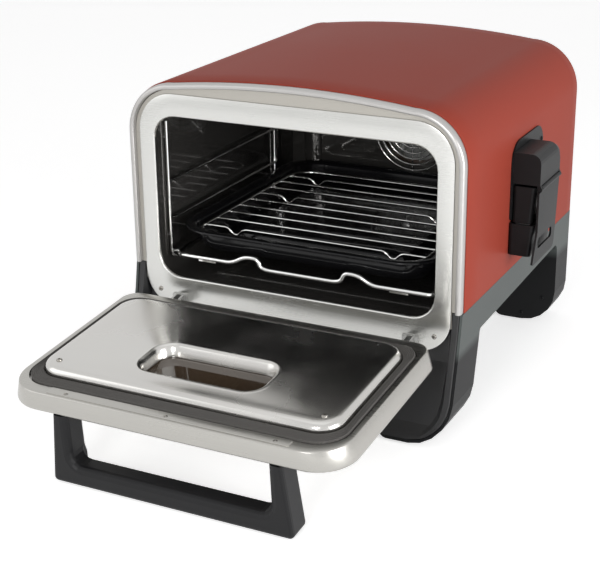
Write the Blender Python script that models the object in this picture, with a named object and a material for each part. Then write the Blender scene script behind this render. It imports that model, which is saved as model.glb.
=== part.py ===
"""Electric countertop oven with a drop-down door, a pull-out wire frame, a pan, a roast rack and a smoke box.

Units are metres. +X is the viewer's right, +Y is the back and +Z is up. The pieces are drawn from the
floor, midway across the body, in the plane of the front rim, and moved over the footprint's middle at
the end. The door stands open and the frame is pushed in.
"""
import math

import bmesh
import bpy
from mathutils import Matrix, Vector

# General clearances and mesh steps
GAP = 0.0003
CUT_OVER = 0.004
SHEET = 0.0012
CORNER_STEPS = 6
ROUND_STEPS = 20
WIRE_SIDES = 8
SMOOTH_ANGLE = math.radians(38)
FLAT_LIMIT = GAP / 1000

# Body and cover
BODY_WIDTH = 0.424
BODY_TOP = 0.386
BODY_DEPTH = 0.420
COVER_BOTTOM = 0.150
COVER_CORNER_RADIUS = 0.062
COVER_CROWN_RADIUS = 1.250
CROWN_STEPS = 8
RIM_WIDTH = 0.008
RIM_DEPTH = 0.010
RIM_CHAMFER = 0.001

# Face plate and opening
PLATE_HALF = 0.198
PLATE_TOP = 0.363
PLATE_BOTTOM = 0.098
PLATE_TOP_RADIUS = 0.046
PLATE_LOW_RADIUS = 0.040
PLATE_Y = 0.005
OPENING_HALF = 0.178
OPENING_TOP = 0.336
OPENING_BOTTOM = 0.137
OPENING_RADIUS = 0.028

# Cavity
CAVITY_HALF = 0.186
CAVITY_TOP = 0.342
CAVITY_BOTTOM = 0.131
CAVITY_RADIUS = 0.0145
CAVITY_BACK_Y = 0.380
BEAD_OUTER_HALF = 0.167
BEAD_WIDTH = 0.027
BEAD_BOTTOM = 0.151
BEAD_TOP = 0.322
BEAD_RADIUS = 0.046
BEAD_HEIGHT = 0.0035
BEAD_SLOPE = 0.004

# Convection fan
FAN_Z = 0.247
FAN_RADIUS = 0.046
FAN_DEPTH = 0.012
FAN_BLADES = 9
BLADE_THICK = 0.0012
FAN_HUB_RADIUS = 0.011
FAN_HOLE_RADIUS = 0.050
FAN_BEHIND_WALL = 0.003
SHAFT_RADIUS = 0.003
MOTOR_RADIUS = 0.026
MOTOR_LENGTH = 0.016
SHROUD_LAP = 0.004
GRILLE_RADIUS = 0.0563
GRILLE_RINGS = 6
GRILLE_WIRE = 0.0022
GRILLE_RIBS = 8
GRILLE_HUB_RADIUS = 0.009
GRILLE_STAND = 0.003

# Heating elements and probe
ELEMENT_RADIUS = 0.0032
ELEMENT_SIDES = 6
ELEMENT_HALF = 0.148
ELEMENT_FRONT_Y = 0.060
ELEMENT_BEND = 0.022
ELEMENT_LEG_X = 0.050
UPPER_ELEMENT_Z = 0.330
ELEMENT_BACK_Y = 0.372
PROBE_RADIUS = 0.002
PROBE_LENGTH = 0.030
PROBE_X = 0.110
PROBE_Z = 0.318

# Rack guides
GUIDE_X = 0.183
GUIDE_WIRE = 0.0021
GUIDE_FRONT_Y = 0.040
GUIDE_BACK_Y = 0.318
GUIDE_TOP_Z = 0.320
GUIDE_LOW_Z = 0.146
GUIDE_RAIL_Z = (0.199, 0.247)
GUIDE_RAIL_X = 0.1795
CARRY_RAIL_X = 0.1715
CARRY_WIRE = 0.0025
CARRY_INSET = 0.012
GUIDE_STUD_RADIUS = 0.0018
GUIDE_STUD_INSET = 0.020

# Accessory frame
FRAME_WIRE = 0.003
FRAME_Z = 0.1604
FRAME_HALF = 0.168
FRAME_FRONT_Y = 0.030
FRAME_REAR_Y = 0.372
FRAME_CORNER = 0.010
FRAME_BAR_DROP = 0.004
FRAME_HUMP_RISE = 0.006
FRAME_CENTRE_DROP = 0.0065
FRAME_HUMP_IN = 0.053
FRAME_HUMP_OUT = 0.092
FRAME_HUMP_RAMP = 0.009
FRAME_CROSS_WIRE = 0.0025
FRAME_CROSS_SHARES = (0.27, 0.73)
TAB_X = 0.126
TAB_WIDTH = 0.024
TAB_DEPTH = 0.005
TAB_THICK = 0.0022

# Pan
PAN_HALF = 0.1710
PAN_FRONT_Y = 0.0180
PAN_REAR_Y = 0.3700
PAN_RIM_Z = 0.1940
PAN_RIM_ROLL = 0.0030
PAN_CORNER = 0.052
PAN_WALL_INSET = 0.012
PAN_BOTTOM_INSET = 0.026
PAN_SHEET = 0.0014
PAN_FLOOR_INSET = 0.030
PAN_FLOOR_Z = 0.1778
PAN_GUTTER_SLOPE = 0.007

# Roast rack
RACK_WIRE = 0.0021
RACK_CROSS_WIRE = 0.0017
RACK_Z = 0.1878
RACK_HALF = 0.1475
RACK_PITCH = 0.0287
RACK_CROSS_COUNT = 9
RACK_CORNER = 0.030
RACK_FRONT_OFFSET = 0.0165
DIP_DEPTH = 0.0080
DIP_HALF = 0.011
DIP_X = 0.104
DIP_ROWS = (1, 6, 9)

# Base
BASE_SKIN = 0.003
BASE_CORNER = 0.045
FOOT_BOTTOM = 0.003
DECK_BOTTOM = 0.1195
DECK_THICK = 0.003
ARCH_FRONT_Z = 0.1115
ARCH_BACK_Z = 0.1185
ARCH_FRONT_Y = 0.064
ARCH_BACK_Y = 0.368
ARCH_FRONT_RADIUS = 0.005
ARCH_RADIUS = 0.012
FRONT_LEG_TAPER = 0.028
LEG_WALL_SHARES = (0.13, 0.27, 0.45, 0.7, 1)
FOOT_INNER_X = 0.128
FOOT_INNER_RADIUS = 0.012
PAD_RADIUS = 0.011
PAD_RECESS = 0.0015
PAD_X = 0.152
FRONT_PAD_Y = 0.018
REAR_PAD_Y = 0.394

# Front panel, from its top to its bottom
PANEL_TOP = 0.1495
PANEL_EDGE_Y = (0.005, -0.001, -0.008, -0.018, -0.0275, -0.0345, -0.038)
PANEL_EDGE_Z = (0.1495, 0.117, 0.089, 0.050, 0.022, 0.009, 0.003)
PANEL_FIELD_Y = (0.010, 0.010, 0.0047, -0.0126, -0.0250, -0.0340, -0.038)
PANEL_BEZEL = 0.008
PANEL_BEZEL_SLOPE = 0.005
PANEL_THICK = 0.003
PANEL_LOW_SHARES = (1, 0.68, 0.47, 0.36, 0.22, 0.13, 0.06, 0)
PANEL_NOTCH_Z = 0.1275
PANEL_NOTCH_HALF = 0.199
DIAL_RADIUS = 0.017
DIAL_HEIGHT = 0.015
DIAL_X = 0.098
DIAL_GRIP_COUNT = 14
DIAL_GRIP_DEPTH = 0.0007
DIAL_PROFILE_SHARES = ((0, 1), (0.06, 1), (0.90, 0.95), (0.97, 0.90), (1, 0.84))
DIAL_MARK = 0.0016
DIAL_SHAFT = 0.003
DIAL_SHAFT_LENGTH = 0.010
CONTROL_LID_Y = 0.040
CONTROL_LID_Z = 0.012
ENCODER_SIZE = 0.012
ENCODER_LENGTH = 0.006
CONTROL_Z = 0.0695
BUTTON_HALF_X = 0.0065
BUTTON_HALF_Z = 0.004
BUTTON_PROUD = 0.002
BUTTON_STEM = 0.006
BUTTON_XS = (-0.052, 0.052)
BUTTON_CLEAR = 0.0004
BUTTON_CORNER = 0.0015
BUTTON_TRAVEL = 0.001
DISPLAY_HALF_X = 0.030
DISPLAY_HALF_Z = 0.011
DISPLAY_PROUD = 0.0008
DISPLAY_THICK = 0.0024

# Door, in its own frame: out from the hinge axis, and up towards the oven's inside
DOOR_AXIS_Y = -0.0224
DOOR_AXIS_Z = 0.1035
DOOR_TILT = math.radians(4.45)
DOOR_BOTTOM = 0.0135
DOOR_HEIGHT = 0.250
DOOR_OUTER_FACE = 0.0014
DOOR_THICK = 0.024
DOOR_HALF = 0.201
DOOR_DRAFT = 0.006
DOOR_FREE_RADIUS = 0.044
DOOR_HINGE_RADIUS = 0.020
DOOR_EDGE_ROUND = 0.005
DOOR_SHEET = 0.0015
GASKET_HALF = 0.192
GASKET_LOW = 0.026
GASKET_HIGH = 0.247
GASKET_PROUD = 0.0017
GASKET_THICK = 0.0052
GASKET_RADIUS = 0.036
GASKET_LOW_RADIUS = 0.026
RAISED_HALF = 0.173
RAISED_LOW = 0.039
RAISED_HIGH = 0.229
RAISED_RADIUS = 0.026
RAISED_PROUD = 0.010
RAISED_BEVEL = 0.007
WINDOW_HALF = 0.0755
WINDOW_LOW = 0.1305
WINDOW_HIGH = 0.1965
WINDOW_RADIUS = 0.022
WINDOW_DISH = 0.012
WINDOW_DISH_SLOPE = 0.006
GLASS_THICK = 0.003
GLASS_LAP = 0.006
OUTER_WINDOW_HALF = 0.118
OUTER_WINDOW_LOW = 0.075
OUTER_WINDOW_HIGH = 0.195
PANEL_SHEET = 0.0012
HANDLE_HALF = 0.135
HANDLE_SPLAY = 0.009
HANDLE_POST = 0.016
HANDLE_OUT = 0.083
HANDLE_BAR = 0.023
HANDLE_DEPTH = 0.031
HANDLE_BAR_DEPTH = 0.022
HANDLE_EDGE = 0.001
HANDLE_CORNER = 0.0055
HANDLE_FILLET = 0.013
HANDLE_ROUND = 0.004
HANDLE_GRIP_ROUND = 0.0075
LUG_X = 0.151
LUG_THICK = 0.006
LUG_RADIUS = 0.007
LUG_SEAT_LOW = 0.004
LUG_SEAT_HIGH = 0.022
PIN_RADIUS = 0.003
CHEEK_THICK = 0.0025
CHEEK_LOW = 0.005
CHEEK_HIGH = 0.012
CHEEK_FOOT = 0.004

# Smoke box on the right side
SMOKE_FRONT_Y = 0.154
SMOKE_REAR_Y = 0.269
SMOKE_FLANGE_TOP = 0.307
SMOKE_FLANGE_BOTTOM = 0.214
SMOKE_FLANGE_THICK = 0.002
SMOKE_FLANGE_RADIUS = 0.024
HOOD_FRONT_Y = 0.155
HOOD_REAR_Y = 0.232
HOOD_TOP = 0.297
HOOD_BOTTOM = 0.2600
HOOD_OUT = 0.0355
HOOD_ROUND = 0.011
SMOKE_WALL = 0.002
CHUTE_BOTTOM = 0.212
CHUTE_HOLE_INSET = 0.010
CHUTE_TOP = 0.2565
CHUTE_FRONT_Y = 0.157
CHUTE_REAR_Y = 0.226
CHUTE_TOP_OUT = 0.0300
CHUTE_LOW_OUT = 0.0265
CHUTE_HOLE_LOW = 0.220
CHUTE_HOLE_HIGH = 0.248
BOX_BOTTOM = 0.173
BOX_FRONT_Y = 0.153
BOX_REAR_Y = 0.226
BOX_TOP = 0.2115
BOX_TOP_OUT = 0.0310
BOX_LOW_OUT = 0.0270
BOX_RADIUS = 0.004
LID_INNER_OUT = 0.0335
LID_THICK = 0.0025
LID_TOP = 0.2550
LID_BOTTOM = 0.168
LID_LOOP_TOP = 0.197
LID_LOOP_LOW = 0.184
LID_LOOP_INSET = 0.012
LID_CORNER = 0.010
LID_FRONT_CORNER = 0.003
LID_KNEE_Z = 0.205
LID_FRONT_SHIFT = 0.014
LID_REAR_SHIFT = 0.010
LID_PIN_RADIUS = 0.0015
LID_BARREL_RADIUS = 0.0030
LID_AXIS_OUT = 0.0352
LID_AXIS_Z = 0.2560
LID_FRONT_Y = 0.152
LID_REAR_Y = 0.231
KNUCKLE_LENGTH = 0.0035
BASKET_WALL = 0.001
BASKET_CLEAR = 0.001
BASKET_TOP = 0.236

# Back of the oven
REAR_THICK = 0.0015
REAR_BOTTOM = 0.1229
DUCT_HALF = 0.088
DUCT_LOW = 0.186
DUCT_HIGH = 0.308
DUCT_DEPTH = 0.023
DUCT_RADIUS = 0.014
DUCT_SLOPE = 0.006
SLOT_LENGTH = 0.060
SLOT_WIDTH = 0.0035
SLOT_PITCH = 0.010
SLOT_COUNT = 6
SLOT_LOW_Z = 0.1275
SLOT_X = 0.115
DUCT_SLOT_COUNT = 7
GLAND_X = -0.165
GLAND_Z = 0.160
GLAND_RADIUS = 0.010
GLAND_LENGTH = 0.012
GLAND_FLANGE = 0.003
GLAND_BORE = 0.004

# Control board
BOARD_THICK = 0.0016
BOARD_HALF_X = 0.110
BOARD_HALF_Y = 0.020

BODY_HALF = BODY_WIDTH / 2
EMPTY_SIZE = BODY_WIDTH / 20


def clear_scene():
    for old in list(bpy.data.objects):
        bpy.data.objects.remove(old, do_unlink=True)


def finish_material(name, colour, roughness, metallic):
    mat = bpy.data.materials.new(name)
    mat.use_nodes = True
    shader = mat.node_tree.nodes["Principled BSDF"]
    shader.inputs["Base Color"].default_value = (*colour, 1)
    shader.inputs["Roughness"].default_value = roughness
    shader.inputs["Metallic"].default_value = metallic
    return mat


clear_scene()
TERRACOTTA = finish_material("terracotta_paint", (0.50, 0.10, 0.08), 0.45, 0.0)
PALE_TRIM = finish_material("pale_trim", (0.60, 0.60, 0.58), 0.35, 0.8)
STAINLESS = finish_material("stainless", (0.52, 0.52, 0.50), 0.32, 1.0)
POLISHED = finish_material("polished_steel", (0.70, 0.70, 0.70), 0.08, 1.0)
ENAMEL = finish_material("black_enamel", (0.012, 0.012, 0.013), 0.18, 0.0)
CHROME = finish_material("chrome_wire", (0.75, 0.75, 0.75), 0.12, 1.0)
BLACK_PLASTIC = finish_material("black_plastic", (0.02, 0.02, 0.022), 0.45, 0.0)
GREY_PLASTIC = finish_material("grey_plastic", (0.10, 0.11, 0.11), 0.5, 0.0)
SMOKE_STEEL = finish_material("dark_steel", (0.06, 0.065, 0.065), 0.4, 0.6)
GASKET_CLOTH = finish_material("gasket_grey", (0.13, 0.13, 0.13), 0.9, 0.0)
GLASS = finish_material("dark_glass", (0.03, 0.015, 0.01), 0.05, 0.0)
RUBBER = finish_material("foot_rubber", (0.02, 0.02, 0.02), 0.85, 0.0)
ELEMENT_STEEL = finish_material("element_steel", (0.25, 0.24, 0.23), 0.4, 1.0)
BOARD_GREEN = finish_material("board_green", (0.03, 0.12, 0.05), 0.5, 0.0)


def split_bent_faces(mesh_builder):
    """Faces whose corners don't share a plane become triangles, so that later cuts stay closed."""
    bmesh.ops.recalc_face_normals(mesh_builder, faces=mesh_builder.faces)
    bent = []
    for face in mesh_builder.faces:
        centre = face.calc_center_median()
        if max(abs((vert.co - centre).dot(face.normal)) for vert in face.verts) > FLAT_LIMIT:
            bent.append(face)
    bmesh.ops.triangulate(mesh_builder, faces=bent)


def to_object(name, mesh_builder, mat, parent=None):
    """Turn a bmesh, given in its parent's frame, into a named object."""
    split_bent_faces(mesh_builder)
    mesh = bpy.data.meshes.new(name)
    mesh_builder.to_mesh(mesh)
    mesh_builder.free()
    obj = bpy.data.objects.new(name, mesh)
    bpy.context.scene.collection.objects.link(obj)
    if parent:
        obj.parent = parent
    mesh.materials.append(mat)
    mesh.shade_smooth()
    mesh.set_sharp_from_angle(angle=SMOOTH_ANGLE)
    return obj


def hinge_empty(name, place, tilt=0, parent=None):
    empty = bpy.data.objects.new(name, None)
    empty.empty_display_size = EMPTY_SIZE
    bpy.context.scene.collection.objects.link(empty)
    empty.location = place
    empty.rotation_euler = (tilt, 0, 0)
    if parent:
        empty.parent = parent
    return empty


def rounded_box(u_low, u_high, v_low, v_high, low_radius, high_radius=None, steps=CORNER_STEPS):
    """Points of a rounded rectangle, anticlockwise from its lower left corner."""
    high_radius = low_radius if high_radius is None else high_radius
    corners = (
        (u_low + low_radius, v_low + low_radius, low_radius, math.pi),
        (u_high - low_radius, v_low + low_radius, low_radius, 1.5 * math.pi),
        (u_high - high_radius, v_high - high_radius, high_radius, 0),
        (u_low + high_radius, v_high - high_radius, high_radius, 0.5 * math.pi),
    )
    points = []
    for centre_u, centre_v, radius, start in corners:
        for step in range(steps + 1):
            angle = start + 0.5 * math.pi * step / steps
            points.append((centre_u + radius * math.cos(angle), centre_v + radius * math.sin(angle)))
    return points


def circle(centre_u, centre_v, radius, steps=ROUND_STEPS):
    turn = 2 * math.pi / steps
    return [(centre_u + radius * math.cos(turn * step), centre_v + radius * math.sin(turn * step))
            for step in range(steps)]


def along_x(points, x):
    return [Vector((x, u, v)) for u, v in points]


def along_y(points, y):
    return [Vector((u, y, v)) for u, v in points]


def along_z(points, z):
    return [Vector((u, v, z)) for u, v in points]


def loft(loops, ring=False):
    """Skin a row of loops with equal counts. A ring joins its last loop to its first, others get end faces."""
    mesh_builder = bmesh.new()
    rows = [[mesh_builder.verts.new(point) for point in loop] for loop in loops]
    count = len(rows[0])
    pairs = list(zip(rows, rows[1:]))
    if ring:
        pairs.append((rows[-1], rows[0]))
    for first, second in pairs:
        for index in range(count):
            follow = (index + 1) % count
            mesh_builder.faces.new((first[index], first[follow], second[follow], second[index]))
    if not ring:
        mesh_builder.faces.new(rows[0])
        mesh_builder.faces.new(rows[-1])
    return mesh_builder


def swept_strip(loops):
    """Skin open rows in a closed section: each row runs along the path, and both ends get a face."""
    mesh_builder = bmesh.new()
    rows = [[mesh_builder.verts.new(point) for point in loop] for loop in loops]
    for first, second in zip(rows, rows[1:] + rows[:1]):
        for index in range(len(first) - 1):
            mesh_builder.faces.new((first[index], first[index + 1], second[index + 1], second[index]))
    mesh_builder.faces.new([row[0] for row in rows])
    mesh_builder.faces.new([row[-1] for row in rows])
    return mesh_builder


def plate(outline, low, high, place):
    return loft([place(outline, low), place(outline, high)])


def box_outline(u_low, u_high, v_low, v_high):
    return [(u_low, v_low), (u_high, v_low), (u_high, v_high), (u_low, v_high)]


def tube(points, radius, sides=WIRE_SIDES, closed=False):
    """Sweep a polygon along points. The frame is carried along without twist."""
    path = [Vector(point) for point in points]
    count = len(path)
    tangents = []
    for index, point in enumerate(path):
        ahead = path[(index + 1) % count] if closed or index < count - 1 else point
        behind = path[index - 1] if closed or index > 0 else point
        tangents.append((ahead - behind).normalized())
    normal = tangents[0].orthogonal().normalized()
    loops = []
    for index, point in enumerate(path):
        tangent = tangents[index]
        normal = (normal - tangent * normal.dot(tangent)).normalized()
        side = tangent.cross(normal)
        stretch = 1
        if closed or 0 < index < count - 1:
            ahead = (path[(index + 1) % count] - point).normalized()
            stretch = 1 / max(0.7, abs(ahead.dot(tangent)))
        turn_axis = (ahead - tangent * ahead.dot(tangent)) if closed or 0 < index < count - 1 else normal * 0
        loop = []
        for step in range(sides):
            angle = 2 * math.pi * (step + 0.5) / sides
            offset = (normal * math.cos(angle) + side * math.sin(angle)) * radius
            if turn_axis.length > 0:
                axis = turn_axis.normalized()
                offset = offset + axis * offset.dot(axis) * (stretch - 1)
            loop.append(point + offset)
        loops.append(loop)
    return loft(loops, ring=closed)


def join_builders(builders):
    whole = bmesh.new()
    for builder in builders:
        scratch = bpy.data.meshes.new("scratch")
        bmesh.ops.recalc_face_normals(builder, faces=builder.faces)
        builder.to_mesh(scratch)
        builder.free()
        whole.from_mesh(scratch)
        bpy.data.meshes.remove(scratch)
    return whole


def combine(obj, builder, operation):
    """Apply one exact Boolean to an object with a helper mesh, then drop the helper."""
    helper = to_object("helper", builder, obj.data.materials[0])
    helper.parent = obj.parent
    helper.hide_render = True
    helper.display_type = "WIRE"
    change = obj.modifiers.new(operation.lower(), "BOOLEAN")
    change.operation = operation
    change.solver = "EXACT"
    change.object = helper
    bpy.context.view_layer.update()
    graph = bpy.context.evaluated_depsgraph_get()
    baked = bpy.data.meshes.new_from_object(obj.evaluated_get(graph))
    old = obj.data
    obj.modifiers.clear()
    obj.data = baked
    baked.name = old.name
    bpy.data.meshes.remove(old)
    bpy.data.objects.remove(helper, do_unlink=True)
    obj.data.shade_smooth()
    obj.data.set_sharp_from_angle(angle=SMOOTH_ANGLE)
    return obj


def cut(obj, builder):
    return combine(obj, builder, "DIFFERENCE")


def fuse(obj, builder):
    return combine(obj, builder, "UNION")


def cylinder(start, end, radius, steps=ROUND_STEPS):
    return tube([start, end], radius, sides=steps)


def cover_outline(inset, bottom, steps=CORNER_STEPS + 3):
    """The front outline of the cover, from the lower left, over the crown, to the lower right."""
    corner = COVER_CORNER_RADIUS - inset
    crown = COVER_CROWN_RADIUS - inset
    centre_x = BODY_HALF - COVER_CORNER_RADIUS
    crown_centre = BODY_TOP - COVER_CROWN_RADIUS
    reach = COVER_CROWN_RADIUS - COVER_CORNER_RADIUS
    centre_z = crown_centre + math.sqrt(reach ** 2 - centre_x ** 2)
    lean = math.asin(centre_x / reach)
    right = [(centre_x + corner, bottom)]
    for step in range(steps + 1):
        angle = (0.5 * math.pi - lean) * step / steps
        right.append((centre_x + corner * math.cos(angle), centre_z + corner * math.sin(angle)))
    crown_points = []
    for step in range(1, CROWN_STEPS):
        angle = lean - 2 * lean * step / CROWN_STEPS
        crown_points.append((crown * math.sin(angle), crown_centre + crown * math.cos(angle)))
    left = [(-x, z) for x, z in reversed(right)]
    return list(reversed(right + crown_points + left))


def cover_and_rim():
    section = ((0, RIM_DEPTH + GAP), (0, BODY_DEPTH), (SHEET, BODY_DEPTH), (SHEET, RIM_DEPTH + GAP))
    rows = [along_y(cover_outline(inset, COVER_BOTTOM), y) for inset, y in section]
    to_object("outer_cover", swept_strip(rows), TERRACOTTA)
    section = (
        (0, RIM_DEPTH),
        (0, RIM_CHAMFER),
        (RIM_CHAMFER, 0),
        (RIM_WIDTH - RIM_CHAMFER, 0),
        (RIM_WIDTH, RIM_CHAMFER),
        (RIM_WIDTH, RIM_DEPTH),
    )
    rows = [along_y(cover_outline(inset, COVER_BOTTOM), y) for inset, y in section]
    to_object("front_rim", swept_strip(rows), PALE_TRIM)


def opening_outline(grow=0):
    return rounded_box(-OPENING_HALF - grow, OPENING_HALF + grow, OPENING_BOTTOM - grow, OPENING_TOP + grow,
                       OPENING_RADIUS + grow)


def face_plate():
    outer = rounded_box(-PLATE_HALF, PLATE_HALF, PLATE_BOTTOM, PLATE_TOP, PLATE_LOW_RADIUS, PLATE_TOP_RADIUS)
    back = PLATE_Y + SHEET
    loops = [along_y(outer, PLATE_Y), along_y(outer, back),
             along_y(opening_outline(), back), along_y(opening_outline(), PLATE_Y)]
    to_object("face_plate", loft(loops, ring=True), STAINLESS)


def front_bulkhead():
    front = PLATE_Y + SHEET + GAP
    back = front + SHEET
    outline = cover_outline(RIM_WIDTH + GAP, CAVITY_BOTTOM - SHEET)
    bulkhead = to_object("front_bulkhead", plate(outline, front, back, along_y), PALE_TRIM)
    cut(bulkhead, plate(opening_outline(), front - CUT_OVER, back + CUT_OVER, along_y))
    for side in (-1, 1):
        edges = sorted((side * (PANEL_NOTCH_HALF - GAP), side * (BODY_HALF + CUT_OVER)))
        corner = box_outline(*edges, CAVITY_BOTTOM - SHEET - CUT_OVER, COVER_BOTTOM)
        cut(bulkhead, plate(corner, front - CUT_OVER, back + CUT_OVER, along_y))


def cavity():
    front = PLATE_Y + 2 * SHEET + 2 * GAP
    back = CAVITY_BACK_Y - GAP
    inner = rounded_box(-CAVITY_HALF, CAVITY_HALF, CAVITY_BOTTOM, CAVITY_TOP, CAVITY_RADIUS)
    outer = rounded_box(-CAVITY_HALF - SHEET, CAVITY_HALF + SHEET, CAVITY_BOTTOM - SHEET, CAVITY_TOP + SHEET,
                        CAVITY_RADIUS + SHEET)
    loops = [along_y(outer, front), along_y(outer, back), along_y(inner, back), along_y(inner, front)]
    to_object("cavity_liner", loft(loops, ring=True), ENAMEL)
    wall = to_object("cavity_back", plate(outer, CAVITY_BACK_Y, CAVITY_BACK_Y + SHEET, along_y), ENAMEL)
    fuse(wall, bead_builder())
    cut(wall, plate(circle(0, FAN_Z, FAN_HOLE_RADIUS), CAVITY_BACK_Y - CUT_OVER,
                    CAVITY_BACK_Y + SHEET + CUT_OVER, along_y))
    for side in (-1, 1):
        hole = circle(side * ELEMENT_LEG_X, UPPER_ELEMENT_Z, ELEMENT_RADIUS + GAP, 12)
        cut(wall, plate(hole, CAVITY_BACK_Y - CUT_OVER, CAVITY_BACK_Y + SHEET + CUT_OVER, along_y))


def bead_builder():
    """The raised U of the back wall, as one open strip that runs down, along and up again."""
    half = BEAD_OUTER_HALF
    edges = (0, BEAD_SLOPE, BEAD_WIDTH - BEAD_SLOPE, BEAD_WIDTH)
    rows = []
    for inset in edges:
        radius = BEAD_RADIUS - inset
        row = [(-half + inset, BEAD_TOP)]
        for start, side in ((math.pi, -1), (1.5 * math.pi, 1)):
            centre_x = side * (half - BEAD_RADIUS)
            for step in range(CORNER_STEPS + 1):
                angle = start + 0.5 * math.pi * step / CORNER_STEPS
                row.append((centre_x + radius * math.cos(angle),
                            BEAD_BOTTOM + BEAD_RADIUS + radius * math.sin(angle)))
        row.append((half - inset, BEAD_TOP))
        rows.append(row)
    inside = CAVITY_BACK_Y + SHEET / 2
    front = CAVITY_BACK_Y - BEAD_HEIGHT
    depths = (inside, front, front, inside)
    return swept_strip([along_y(row, depth) for row, depth in zip(rows, depths)])


def ring_builder(radius, thickness, y_low, y_high, steps):
    outer = circle(0, FAN_Z, radius, steps)
    inner = circle(0, FAN_Z, radius - thickness, steps)
    return loft([along_y(outer, y_low), along_y(outer, y_high), along_y(inner, y_high), along_y(inner, y_low)],
                ring=True)


def fan_grille():
    """Concentric rings on radial ribs. The outer ring stands back to the wall that carries the grille."""
    back = CAVITY_BACK_Y - GAP
    face = back - GRILLE_STAND - GRILLE_WIRE
    grille = to_object("fan_grille", ring_builder(GRILLE_RADIUS, GRILLE_WIRE, face, back, 28), CHROME)
    pitch = (GRILLE_RADIUS - GRILLE_HUB_RADIUS) / GRILLE_RINGS
    rings = [ring_builder(GRILLE_RADIUS - pitch * index, GRILLE_WIRE, face, face + GRILLE_WIRE, 20)
             for index in range(1, GRILLE_RINGS)]
    hub = plate(circle(0, FAN_Z, GRILLE_HUB_RADIUS, 16), face, face + GRILLE_WIRE, along_y)
    fuse(grille, join_builders(rings + [hub]))
    for rib in range(GRILLE_RIBS // 2):
        turn = Matrix.Rotation(math.pi * rib / (GRILLE_RIBS // 2), 3, "Y")
        reach = GRILLE_RADIUS - GRILLE_WIRE / 2
        half = GRILLE_WIRE / 2
        bar = plate(box_outline(-reach, reach, -half, half), face + GRILLE_WIRE / 4,
                    face + GRILLE_WIRE * 5 / 4, along_y)
        bmesh.ops.rotate(bar, verts=bar.verts, cent=(0, 0, 0), matrix=turn)
        bmesh.ops.translate(bar, verts=bar.verts, vec=(0, 0, FAN_Z))
        fuse(grille, bar)


def convection_fan():
    centre = (0, CAVITY_BACK_Y + SHEET, FAN_Z)
    empty = hinge_empty("fan_axis", centre)
    front = CAVITY_BACK_Y + SHEET + FAN_BEHIND_WALL
    back = front + FAN_DEPTH
    hub = plate(circle(0, 0, FAN_HUB_RADIUS), front, back, along_y)
    disc = plate(circle(0, 0, FAN_RADIUS), back - BLADE_THICK, back, along_y)
    fan = to_object("convection_fan", hub, STAINLESS)
    fuse(fan, disc)
    for blade in range(FAN_BLADES):
        outline = box_outline(FAN_HUB_RADIUS - BLADE_THICK, FAN_RADIUS - BLADE_THICK, -BLADE_THICK / 2,
                              BLADE_THICK / 2)
        leaf = plate(outline, front, back - BLADE_THICK / 2, along_y)
        turn = Matrix.Rotation(2 * math.pi * blade / FAN_BLADES, 3, "Y")
        bmesh.ops.rotate(leaf, verts=leaf.verts, cent=(0, 0, 0), matrix=turn)
        fuse(fan, leaf)
    motor_front = BODY_DEPTH - REAR_THICK - GAP - MOTOR_LENGTH
    shaft_end = motor_front - GAP
    fuse(fan, cylinder((0, front + FAN_DEPTH / 2, 0), (0, shaft_end, 0), SHAFT_RADIUS, 16))
    fan.parent = empty
    fan.location = (0, -centre[1], 0)
    motor = plate(circle(0, FAN_Z, MOTOR_RADIUS), motor_front, motor_front + MOTOR_LENGTH, along_y)
    to_object("fan_motor", motor, STAINLESS)
    shroud_front = CAVITY_BACK_Y + SHEET + GAP
    shroud_back = motor_front - GAP
    section = (
        (FAN_HOLE_RADIUS + SHROUD_LAP, shroud_front),
        (FAN_HOLE_RADIUS + SHROUD_LAP, shroud_back),
        (SHAFT_RADIUS + 2 * GAP, shroud_back),
        (SHAFT_RADIUS + 2 * GAP, shroud_back - SHEET),
        (FAN_HOLE_RADIUS + SHROUD_LAP - SHEET, shroud_back - SHEET),
        (FAN_HOLE_RADIUS + SHROUD_LAP - SHEET, shroud_front),
    )
    to_object("fan_shroud", loft([along_y(circle(0, FAN_Z, radius, 32), y) for radius, y in section],
                                 ring=True), STAINLESS)


def element_path(height):
    """One W-shaped rod: in through the back wall, forward, across and back, twice."""
    bend = ELEMENT_BEND
    row = [(-ELEMENT_LEG_X, CAVITY_BACK_Y + SHEET * 3), (-ELEMENT_LEG_X, ELEMENT_BACK_Y - bend)]
    row += arc_points(-ELEMENT_LEG_X - bend, ELEMENT_BACK_Y - bend, bend, 0, 0.5)
    row += arc_points(-ELEMENT_HALF + bend, ELEMENT_BACK_Y - bend, bend, 0.5, 1.0)
    row += arc_points(-ELEMENT_HALF + bend, ELEMENT_FRONT_Y + bend, bend, 1.0, 1.5)
    left = row
    right = [(-x, y) for x, y in reversed(left)]
    return [(x, y, height) for x, y in left + right]


def arc_points(centre_u, centre_v, radius, start_turn, end_turn, steps=5):
    points = []
    for step in range(steps + 1):
        angle = math.pi * (start_turn + (end_turn - start_turn) * step / steps)
        points.append((centre_u + radius * math.cos(angle), centre_v + radius * math.sin(angle)))
    return points


def heating_elements():
    under_floor = CAVITY_BOTTOM - SHEET - GAP - ELEMENT_RADIUS
    for name, height in (("upper_element", UPPER_ELEMENT_Z), ("lower_element", under_floor)):
        to_object(name, tube(element_path(height), ELEMENT_RADIUS, sides=ELEMENT_SIDES), ELEMENT_STEEL)
    start = (PROBE_X, CAVITY_BACK_Y - GAP, PROBE_Z)
    end = (PROBE_X, CAVITY_BACK_Y - PROBE_LENGTH, PROBE_Z)
    to_object("temperature_probe", cylinder(start, end, PROBE_RADIUS, 12), CHROME)


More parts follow.
